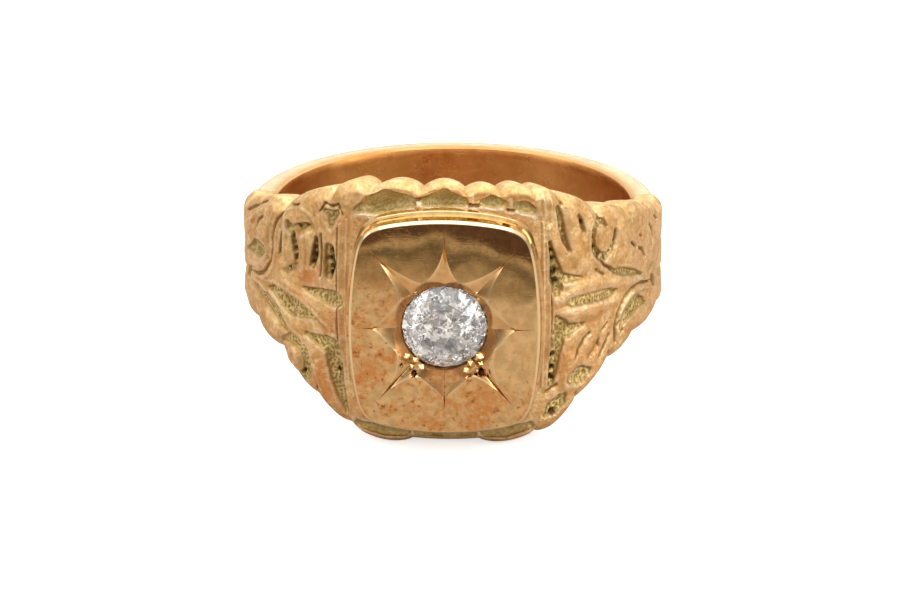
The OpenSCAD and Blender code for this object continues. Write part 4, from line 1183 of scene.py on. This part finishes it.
def cut_plate(settings):
    """The plate as one closed mesh of columns round the stone, each running over the star, the
    dome, the bevel, the wall and the ledge, and back through the seat."""
    table = star_columns(settings.ray_steps)
    direction = np.radians(table[:, 0])[:, None]
    root_share, *shape, depth = (table[:, i][:, None] for i in range(1, 7))
    outline = star_outline(root_share, *shape)
    edge_reach = plate_reach(direction)
    dome_reach = edge_reach - settings.bevel
    dome_edge = dome_level(dome_reach, direction, settings)
    foot = PLATE_TOP - settings.dome_drop - BEVEL_H - WALL_H

    in_star = np.linspace(0, 1, settings.star_rings)[None, :]
    reach_in = SEAT_R + (outline - SEAT_R) * in_star
    # The bowl is shallow below the stone, between the beads
    bowl_depth = BOWL_DEPTH * (1 - 0.85 * np.exp(-((table[:, :1] - 270) / 34) ** 4))
    # The bowl's painted shade round the stone, and the painted highlight on the rays' upper walls
    cut_depth, bowl, bright = star_depth(reach_in, root_share, *shape, depth, bowl_depth)
    cut_depth[:, -1] = 0
    deep, pitted = graver_pits(reach_in * np.cos(direction), reach_in * np.sin(direction))
    # The graver's line down the middle of the lower rays
    lined = np.any([np.abs(table[:, :1] - ray[0]) < LINED_ANGLE for ray in LINED_RAYS], axis=0)
    line = lined * np.exp(-((root_share / 0.17) ** 2)) * (in_star < 1)
    cut_depth += deep + LINE_DEPTH * line
    pitted = np.maximum(pitted, 0.4 * line)
    level_in = dome_level(reach_in, direction, settings) - cut_depth
    on_dome = np.linspace(0, 1, settings.dome_rings + 1)[None, 1:]
    reach_out = outline + (dome_reach - outline) * on_dome
    level_out = dome_level(reach_out, direction, settings)

    # The bevel, the upright wall, the ledge and the foot, as reach and level
    outer = [
        (dome_reach + 0.03, dome_edge - 0.012),
        (edge_reach - 0.08, dome_edge - 0.12),
        (edge_reach - 0.05, dome_edge - 0.17),
        (edge_reach - 0.045, (dome_edge + foot) / 2),
        (edge_reach - 0.03, foot + 0.14),
        (edge_reach + 0.01, foot + 0.05),
        (edge_reach + LEDGE_W - 0.03, foot + 0.01),
        (edge_reach + LEDGE_W, foot - 0.04),
        (edge_reach + LEDGE_W, PLATE_BOTTOM)]
    seat_top = GIRDLE_LEVEL - GIRDLE_H / 2 - SEAT_GAP
    seat_foot = seat_top - (SEAT_R - LIGHT_HOLE_R) * SEAT_SLOPE
    inner = [(LIGHT_HOLE_R, PLATE_BOTTOM), (LIGHT_HOLE_R, seat_foot), (SEAT_R, seat_top)]
    full = np.ones_like(direction)
    sides = [(full * reach, full * level) for reach, level in outer + inner]
    reach = np.concatenate([reach_in, reach_out, *(side[0] for side in sides)], axis=1)
    level = np.concatenate([level_in, level_out, *(side[1] for side in sides)], axis=1)
    across = reach * np.cos(direction)
    along = reach * np.sin(direction)
    worn = 0.0035 * soft_noise(across, along, 5, size=3.4)
    points = np.stack([across, level + worn, PLATE_MID + along], -1)
    columns, section = reach.shape
    faces = tube_grid(columns, section, closed=True)
    material = shared_material(plate_gold, bpy.context.scene.ring_colours)
    plate = new_piece("table_plate", place(points).reshape(-1, 3), faces, material)

    rest = np.zeros((columns, section - settings.star_rings))
    cut = np.ones(reach_in.shape)
    cut[:, -1] = 0
    # The seat takes the bowl's painted shade too
    seat = rest.copy()
    seat[:, -2:] = 1
    # Painted highlight on the bevel's top rows and on the rays' upper walls
    bevel = np.zeros(reach.shape)
    bevel[:, :settings.star_rings] = 0.5 * bright
    bevel[:, settings.star_rings + settings.dome_rings:][:, :2] = 1
    store(plate, "engraved", np.concatenate([cut, rest], axis=1))
    store(plate, "bowl", np.concatenate([bowl, seat], axis=1))
    store(plate, "pit", np.concatenate([pitted, rest], axis=1))
    store(plate, "bevel", bevel)
    # Stains gather low on the plate's left
    store(plate, "stained", 0.15 + 0.85 * smooth(0.45 - along / 6 - across / 9))
    return plate


# The grain beads

def ball(centre, radii, turned, around=5, rings=3):
    """Points and faces of a closed ball with cut faces, longer one way than the other two."""
    points = [centre + np.array([0, 0, radii[2]])]
    for i in range(1, rings):
        fall = math.pi * i / rings
        for k in range(around):
            turn = turned + 2 * math.pi * (k + i / 2) / around
            wide = math.sin(fall)
            step = np.array([wide * math.cos(turn), wide * math.sin(turn), math.cos(fall)])
            points.append(centre + step * radii)
    points.append(centre - np.array([0, 0, radii[2]]))
    last = len(points) - 1
    faces = [(0, 1 + k, 1 + (k + 1) % around) for k in range(around)]
    for i in range(rings - 2):
        for k in range(around):
            a = 1 + i * around + k
            b = 1 + i * around + (k + 1) % around
            faces.append((a, a + around, b + around, b))
    foot = 1 + (rings - 2) * around
    faces += [(last, foot + (k + 1) % around, foot + k) for k in range(around)]
    return points, faces


def raise_beads():
    """All the beads as one piece. Each is a ball that is longer outwards than it is wide."""
    points = []
    faces = []
    for direction, reach, lift, radius in BEADS:
        turn = math.radians(direction)
        across = reach * math.cos(turn)
        along = PLATE_MID + reach * math.sin(turn)
        middle = np.array([across, along, GIRDLE_LEVEL + lift])
        start = len(points)
        bead_points, bead_faces = ball(middle, np.array([radius, radius, radius * 1.25]), turn)
        points += [(p[0], p[2], p[1]) for p in bead_points]
        faces += [tuple(start + i for i in face) for face in bead_faces]
    material = shared_material(plate_gold, bpy.context.scene.ring_colours)
    return new_piece("grain_beads", place(points), faces, material)


# The stone

def stone_heights(settings):
    """Height of the crown over the girdle and depth of the pavilion below it."""
    return 2 * STONE_R * settings.crown_share, 2 * STONE_R * settings.pavilion_share


def cut_stone(settings):
    """A round brilliant. Its crown has a table, stars, kites and halves, and under the girdle
    the facets are a little uneven, as on an old hand-cut stone."""
    random = np.random.default_rng(12)
    table_r = STONE_R * settings.table_share
    crown, pavilion = stone_heights(settings)
    half = GIRDLE_H / 2

    def ring_at(reach, level, count, turn, uneven=0.0):
        points = []
        for t in np.radians(turn + 360 * np.arange(count) / count):
            out = reach * (1 + uneven * random.uniform(-1, 1))
            up = level * (1 + uneven * random.uniform(-1, 1))
            points.append((out * math.cos(t), GIRDLE_LEVEL + up, PLATE_MID + out * math.sin(t)))
        return points

    points = ring_at(table_r, half + crown, 8, 0)
    points += ring_at((STONE_R + table_r) / 2, half + crown * 0.52, 8, 22.5)
    points += ring_at(STONE_R, half, 16, 0)
    points += ring_at(STONE_R, -half, 16, 0)
    points += ring_at(STONE_R * 0.66, -half - pavilion * 0.37, 16, 11.25, settings.unevenness)
    points += ring_at(STONE_R * 0.32, -half - pavilion * 0.7, 8, 22.5, settings.unevenness)
    points += [(0, GIRDLE_LEVEL - half - pavilion, PLATE_MID)]
    # Where each of these rings of corners starts, after the table's
    kites, girdle, under, halves, mains, culet = 8, 16, 32, 48, 64, 72
    faces = [tuple(range(7, -1, -1))]
    for i in range(8):
        after = (i + 1) % 8
        rim = girdle + 2 * i
        next_rim = girdle + (2 * i + 2) % 16
        mid = halves + 2 * i
        next_mid = halves + (2 * i + 2) % 16
        faces += [
            (i, after, kites + i),
            (i, kites + i, rim),
            (i, rim, kites + (i + 7) % 8),
            (kites + i, rim + 1, rim),
            (kites + i, next_rim, rim + 1),
            (mid, mid + 1, mains + i),
            (mid + 1, next_mid, mains + i),
            (next_mid, mains + after, mains + i),
            (mains + i, mains + after, culet)]
    for i in range(16):
        after = (i + 1) % 16
        faces += [
            (girdle + i, girdle + after, under + after, under + i),
            (under + i, under + after, halves + i),
            (under + after, halves + after, halves + i)]
    material = shared_material(cut_diamond, bpy.context.scene.ring_colours)
    return new_piece("brilliant", place(points), faces, material)


def grow_feathers(settings):
    """Cleavage faces inside the stone, as thin closed flakes turned every way, with a painted glow:
    bright at its sides, dull and larger low under its table and under the table's upper part."""
    random = np.random.default_rng(21)
    crown, pavilion = stone_heights(settings)
    points = []
    faces = []
    glow = []
    for _ in range(settings.feathers):
        reach = STONE_R * 0.9 * math.sqrt(random.uniform(0, 1))
        turn = random.uniform(0, 2 * math.pi)
        across = reach * math.cos(turn)
        along = reach * math.sin(turn)
        dull = max(
            math.exp(-(((across - x) / half_width) ** 2) - ((along - y) / half_height) ** 2)
            for x, y, half_width, half_height in DULL_AREAS)
        size = random.uniform(0.08, 0.38) * settings.feather_size * (1 + 0.5 * dull)
        top = crown * min(1, (STONE_R - reach) / (STONE_R * (1 - settings.table_share))) - size
        bottom = -pavilion * (1 - reach / STONE_R) + size
        level = top - (top - bottom) * random.uniform(0, 0.6) * (1 - 0.6 * dull)
        middle = np.array([across, GIRDLE_LEVEL + level, PLATE_MID + along])
        lit = 1 - 0.9 * dull
        glow += [0.04 + 0.96 * lit * random.uniform(0, 1) ** 2.2] * len(FLAKE)
        axes = np.linalg.qr(random.standard_normal((3, 3)))[0]
        start = len(points)
        points += list(middle + np.array(FLAKE) * size @ axes)
        for face in ((0, 2, 1), (0, 1, 3), (1, 2, 3), (2, 0, 3)):
            faces.append(tuple(start + i for i in face))
    material = shared_material(feather_white, bpy.context.scene.ring_colours)
    flakes = new_piece("stone_feathers", place(np.array(points)), faces, material)
    store(flakes, "glow", glow)
    return flakes


# Camera and studio

def ring_vector(right, out, along):
    return Vector(right * RIGHT + out * OUT + along * ALONG)


def set_camera():
    """A long lens far away. Each pixel of the picture covers the same size on the ring's middle."""
    data = bpy.data.cameras.new("ring_camera")
    camera = add_to_scene("ring_camera", data)
    towards = ring_vector(
        math.sin(VIEW_TURN) * math.cos(VIEW_HEIGHT),
        math.cos(VIEW_TURN) * math.cos(VIEW_HEIGHT),
        math.sin(VIEW_HEIGHT))
    right = ring_vector(math.cos(VIEW_TURN), -math.sin(VIEW_TURN), 0)
    up = towards.cross(right)
    shift = -right * MIDDLE_RIGHT / PIXELS_PER_MM - up * MIDDLE_UP / PIXELS_PER_MM
    where = Vector(CENTRE) + MM * (shift + towards * VIEW_DISTANCE)
    turned = Matrix((right, up, towards)).transposed().to_4x4()
    camera.matrix_world = Matrix.Translation(where) @ turned
    data.sensor_width = 36
    data.lens = PIXELS_PER_MM * VIEW_DISTANCE * data.sensor_width / PICTURE_WIDTH
    data.clip_start = 0.01
    data.clip_end = 10
    bpy.context.scene.camera = camera


def set_lights():
    for name, where, width, height, power in SOFT_LIGHTS:
        data = bpy.data.lights.new(name, "AREA")
        data.shape = "RECTANGLE"
        data.size = width
        data.size_y = height
        data.energy = power
        light = add_to_scene(name, data)
        light.location = where
        light.rotation_mode = "QUATERNION"
        light.rotation_quaternion = (Vector(CENTRE) - Vector(where)).to_track_quat("-Z", "Y")


def ramp(tree, height, rows):
    """Colours of the room by height, blended evenly from row to row."""
    node = add_node(tree, "ShaderNodeValToRGB")
    elements = node.color_ramp.elements
    while len(elements) < len(rows):
        elements.new(1.0)
    for element, (level, red, green, blue) in zip(elements, rows):
        element.position = level - ROOM_LOW
        element.color = (red, green, blue, 1)
    along_ramp = spread(tree, height, ROOM_LOW, ROOM_LOW + 1, easing="LINEAR")
    set_inputs(tree, node, Fac=along_ramp)
    return node.outputs["Color"]


def set_world(settings):
    """A pale room that is darker near the horizon and in front, and plain white to the camera."""
    world = bpy.data.worlds.new("studio")
    world.use_nodes = True
    bpy.context.scene.world = world
    tree = world.node_tree
    tree.nodes.clear()
    direction = add_node(tree, "ShaderNodeTexCoord").outputs["Generated"]
    parts = set_inputs(tree, add_node(tree, "ShaderNodeSeparateXYZ"), Vector=direction).outputs
    # In front, heights are taken along the bend of the dark shapes
    aside = plus(tree, parts["X"], FRONT_ASIDE)
    held = math_node(tree, "MAXIMUM", math_node(tree, "MINIMUM", aside, FRONT_REACH), -FRONT_REACH)
    tilt = plus(tree, times(tree, held, FRONT_BEND), FRONT_TILT)
    bent = plus(tree, parts["Z"], times(tree, held, tilt))
    front = ramp(tree, bent, ROOM_FRONT)
    facing = spread(tree, parts["Y"], -0.9, -0.4, 1.0, 0.0)
    behind = spread(tree, parts["Y"], 0.4, 0.85)
    sides = blend_colours(
        tree, behind, ramp(tree, parts["Z"], ROOM_ROUND), ramp(tree, parts["Z"], ROOM_BACK))
    lit = blend_colours(tree, facing, sides, front)
    is_camera = add_node(tree, "ShaderNodeLightPath").outputs["Is Camera Ray"]
    seen = blend_colours(tree, is_camera, lit, (1.0, 1.0, 1.0, 1))
    background = add_node(tree, "ShaderNodeBackground")
    set_inputs(tree, background, Color=seen, Strength=settings.room_light)
    set_inputs(tree, add_node(tree, "ShaderNodeOutputWorld"), Surface=background.outputs["Background"])


def lay_floor(settings):
    half = settings.floor_size / 2
    points = np.array([(-half, -half, 0), (half, -half, 0), (half, half, 0), (-half, half, 0)])
    return new_piece("floor", points, [(0, 1, 2, 3)], shared_material(pale_floor))


# Settings that a user can change

def colour_of(name, description, default):
    return bpy.props.FloatVectorProperty(
        name=name, description=description, default=default, size=4, min=0, max=1, subtype="COLOR")


def length_of(name, description, default):
    return bpy.props.FloatProperty(
        name=name, description=f"{description}, in millimetres", default=default, min=0, precision=3)


def share_of(name, description, default):
    return bpy.props.FloatProperty(
        name=name, description=description, default=default, min=0, max=1, subtype="FACTOR")


def number_of(name, description, default, low, high):
    return bpy.props.IntProperty(name=name, description=description, default=default, min=low, max=high)


class RingCarving(bpy.types.PropertyGroup):
    """Sizes of the carved band."""

    rows: number_of("Rows", "Rows of points across the band's outside", 150, 40, 160)
    pocket_depth: length_of("Pocket depth", "Depth of the matted pockets", 0.2)
    pocket_wall: length_of("Pocket wall", "Width of a pocket's sloping wall", 0.13)
    punch_depth: length_of("Punch depth", "Depth of the punched marks in the pockets", 0.05)
    hollow_depth: length_of("Hollow depth", "Depth of the soft hollows beside leaves", 0.14)
    groove_depth: length_of("Groove depth", "Depth of the engraved lines", 0.17)
    groove_wall: length_of("Groove wall", "Width of a groove's sloping wall", 0.12)
    leaf_height: length_of("Leaf height", "Height of ribs and leaves", 0.09)
    ridge_height: length_of("Ridge height", "Height of the narrow ridges", 0.07)
    pit_depth: length_of("Pit depth", "Depth of the dark pits in the pockets", 0.16)
    pillow: length_of("Pillow", "Rise of a leaf's surface away from its outline", 0.07)
    rim_round: length_of("Rim rounding", "Fall of the band towards its edges", 0.45)
    crown_reach: length_of("Rim reach", "How far in from the edges the rounding starts", 0.75)


class RingPlate(bpy.types.PropertyGroup):
    """Sizes of the table plate and its star."""

    dome_drop: length_of("Dome", "Drop of the dome at the plate's ends", 0.26)
    side_drop: length_of("Side drop", "Drop of the dome at the plate's sides", 0.18)
    bevel: length_of("Bevel", "Width of the bevel round the dome", 0.2)
    ray_steps: number_of("Ray steps", "Columns of points on each side of a ray", 16, 6, 24)
    star_rings: number_of("Star rings", "Rings of points inside the star", 30, 8, 40)
    dome_rings: number_of("Dome rings", "Rings of points between star and bevel", 30, 8, 50)


class RingStone(bpy.types.PropertyGroup):
    """Proportions of the brilliant, as shares of its width, and its flaws."""

    table_share: share_of("Table", "Width of the table facet", 0.57)
    crown_share: share_of("Crown", "Height of the crown", 0.15)
    pavilion_share: share_of("Pavilion", "Depth of the pavilion", 0.42)
    unevenness: share_of("Unevenness", "How far the pavilion's corners stray", 0.06)
    feathers: number_of("Feathers", "Number of flaws inside the stone", 240, 0, 800)
    feather_size: bpy.props.FloatProperty(
        name="Feather size", description="Size of the flaws against their usual size", default=1.0, min=0)


class RingColours(bpy.types.PropertyGroup):
    """Colours of the gold and of the stone."""

    leaf_gold: colour_of("Leaf gold", "Colour of the carved leaves", (0.97, 0.69, 0.345, 1))
    leaf_shade: colour_of("Leaf shade", "Deeper tone of the carved leaves", (0.7, 0.42, 0.15, 1))
    leaf_grain: colour_of("Leaf grain", "Fine grain on the carved leaves", (0.46, 0.29, 0.09, 1))
    plate_gold: colour_of("Plate gold", "Colour of the polished plate", (0.85, 0.56, 0.255, 1))
    plate_shade: colour_of("Plate shade", "Deeper tone of the plate", (0.6, 0.41, 0.18, 1))
    # Painted highlight, with some wear, on the bevel and on the rays' upper walls
    bevel: colour_of("Bevel", "Paler gold of the plate's worn bevel", (0.93, 0.72, 0.4, 1))
    pocket: colour_of("Pocket", "Colour of the matted ground", (0.78, 0.59, 0.25, 1))
    pocket_shade: colour_of("Pocket shade", "Darker tone of the ground", (0.52, 0.38, 0.13, 1))
    grime: colour_of("Grime", "Colour of the dirt in cuts", (0.13, 0.06, 0.018, 1))
    # Painted shade, with some dirt, in low places, hollows and pocket walls, and down the plain shank's
    # sides
    cavity: colour_of("Cavity", "Colour of the gold low beside leaves", (0.44, 0.28, 0.1, 1))
    # Painted highlight, with wear, where the carving stands proud and on the plain shank's outside
    crest: colour_of("Crest", "Colour of the gold where wear has polished it", (0.9, 0.78, 0.57, 1))
    pit: colour_of("Pit", "Colour of the dirt in the deepest pits", (0.02, 0.012, 0.008, 1))
    stain: colour_of("Stain", "Colour of reddish fire stain", (0.7, 0.31, 0.1, 1))
    # Painted shade in the bowl round the stone
    bowl: colour_of("Bowl", "Colour of the gold round the stone", (0.44, 0.21, 0.075, 1))
    # Painted shade of the finger hole, warm from the gold round it
    bore: colour_of("Finger hole", "Colour of the gold in the finger hole", (0.58, 0.27, 0.07, 1))
    # Painted reflections in the finger hole
    bore_light: colour_of("Hole streaks", "Lighter streaks in the finger hole", (0.74, 0.38, 0.13, 1))
    stone: colour_of("Stone", "Colour of the clear stone", (0.97, 0.96, 0.945, 1))
    stone_cloud: colour_of("Stone clouds", "Colour of the stone's clouds", (0.93, 0.93, 0.94, 1))
    feather_shade: colour_of("Feather shade", "Darker tone of the flaws", (0.42, 0.415, 0.4, 1))


class RingStudio(bpy.types.PropertyGroup):
    """Light and floor."""

    room_light: bpy.props.FloatProperty(
        name="Room light", description="Strength of the light from the room", default=1.0, min=0)
    floor_size: bpy.props.FloatProperty(
        name="Floor", description="Side of the floor", default=0.5, unit="LENGTH")


# Steps of the making, in order

class RING_OT_carve_band(bpy.types.Operator):
    """Carve the gold band with its shoulders and plain shank"""

    bl_idname = "ring.carve_band"
    bl_label = "Carve the band"

    def execute(self, context):
        for name, first, last, step in BAND_RUNS:
            run = build_band_run(name, first, last, step, context.scene.ring_carving)
            if name == "head_rims":
                bore_light_hole(run)
            shade(run, 50)
            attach(run, "root")
            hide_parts("gold_ring")
        return {"FINISHED"}


class RING_OT_cut_plate(bpy.types.Operator):
    """Cut the table plate with its star and the stone's seat"""

    bl_idname = "ring.cut_plate"
    bl_label = "Cut the plate"

    def execute(self, context):
        plate = cut_plate(context.scene.ring_plate)
        shade(plate, 16)
        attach(plate, "root")
        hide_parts("gold_ring")
        return {"FINISHED"}


class RING_OT_raise_beads(bpy.types.Operator):
    """Raise the grain beads that hold the stone"""

    bl_idname = "ring.raise_beads"
    bl_label = "Raise the beads"

    def execute(self, context):
        beads = raise_beads()
        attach(beads, "root")
        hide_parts("gold_ring")
        return {"FINISHED"}


class RING_OT_cut_stone(bpy.types.Operator):
    """Cut the brilliant"""

    bl_idname = "ring.cut_stone"
    bl_label = "Cut the stone"

    def execute(self, context):
        stone = cut_stone(context.scene.ring_stone)
        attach(stone, "root")
        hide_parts("diamond")
        return {"FINISHED"}


class RING_OT_grow_feathers(bpy.types.Operator):
    """Grow the bright flaws inside the brilliant"""

    bl_idname = "ring.grow_feathers"
    bl_label = "Grow the feathers"

    def execute(self, context):
        feathers = grow_feathers(context.scene.ring_stone)
        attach(feathers, "root")
        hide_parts("diamond")
        return {"FINISHED"}


class RING_OT_set_stage(bpy.types.Operator):
    """Set the floor, the soft lights, the room and the camera"""

    bl_idname = "ring.set_stage"
    bl_label = "Set the stage"

    def execute(self, context):
        lay_floor(context.scene.ring_studio)
        set_lights()
        set_world(context.scene.ring_studio)
        set_camera()
        context.scene.view_settings.view_transform = "Standard"
        return {"FINISHED"}


OPERATORS = [
    RING_OT_carve_band, RING_OT_cut_plate, RING_OT_raise_beads, RING_OT_cut_stone,
    RING_OT_grow_feathers, RING_OT_set_stage]
SETTINGS = {
    "ring_carving": RingCarving,
    "ring_plate": RingPlate,
    "ring_stone": RingStone,
    "ring_colours": RingColours,
    "ring_studio": RingStudio,
}


class RING_PT_panel(bpy.types.Panel):
    """The ring's sizes, colours and steps"""

    bl_label = "Signet Ring"
    bl_idname = "RING_PT_panel"
    bl_space_type = "VIEW_3D"
    bl_region_type = "UI"
    bl_category = "Ring"

    def draw(self, context):
        layout = self.layout
        for name, kind in SETTINGS.items():
            box = layout.box()
            for field in kind.__annotations__:
                box.prop(getattr(context.scene, name), field)
        for operator in OPERATORS:
            layout.operator(operator.bl_idname)


def register():
    for kind in [*SETTINGS.values(), *OPERATORS, RING_PT_panel]:
        bpy.utils.register_class(kind)
    for name, kind in SETTINGS.items():
        setattr(bpy.types.Scene, name, bpy.props.PointerProperty(type=kind))


def unregister():
    for name in SETTINGS:
        delattr(bpy.types.Scene, name)
    for kind in [RING_PT_panel, *OPERATORS, *SETTINGS.values()]:
        bpy.utils.unregister_class(kind)


def main():
    register()
    bpy.ops.ring.carve_band()
    bpy.ops.ring.cut_plate()
    bpy.ops.ring.raise_beads()
    bpy.ops.ring.cut_stone()
    bpy.ops.ring.grow_feathers()
    bpy.ops.ring.set_stage()


if __name__ == "__main__":
    main()
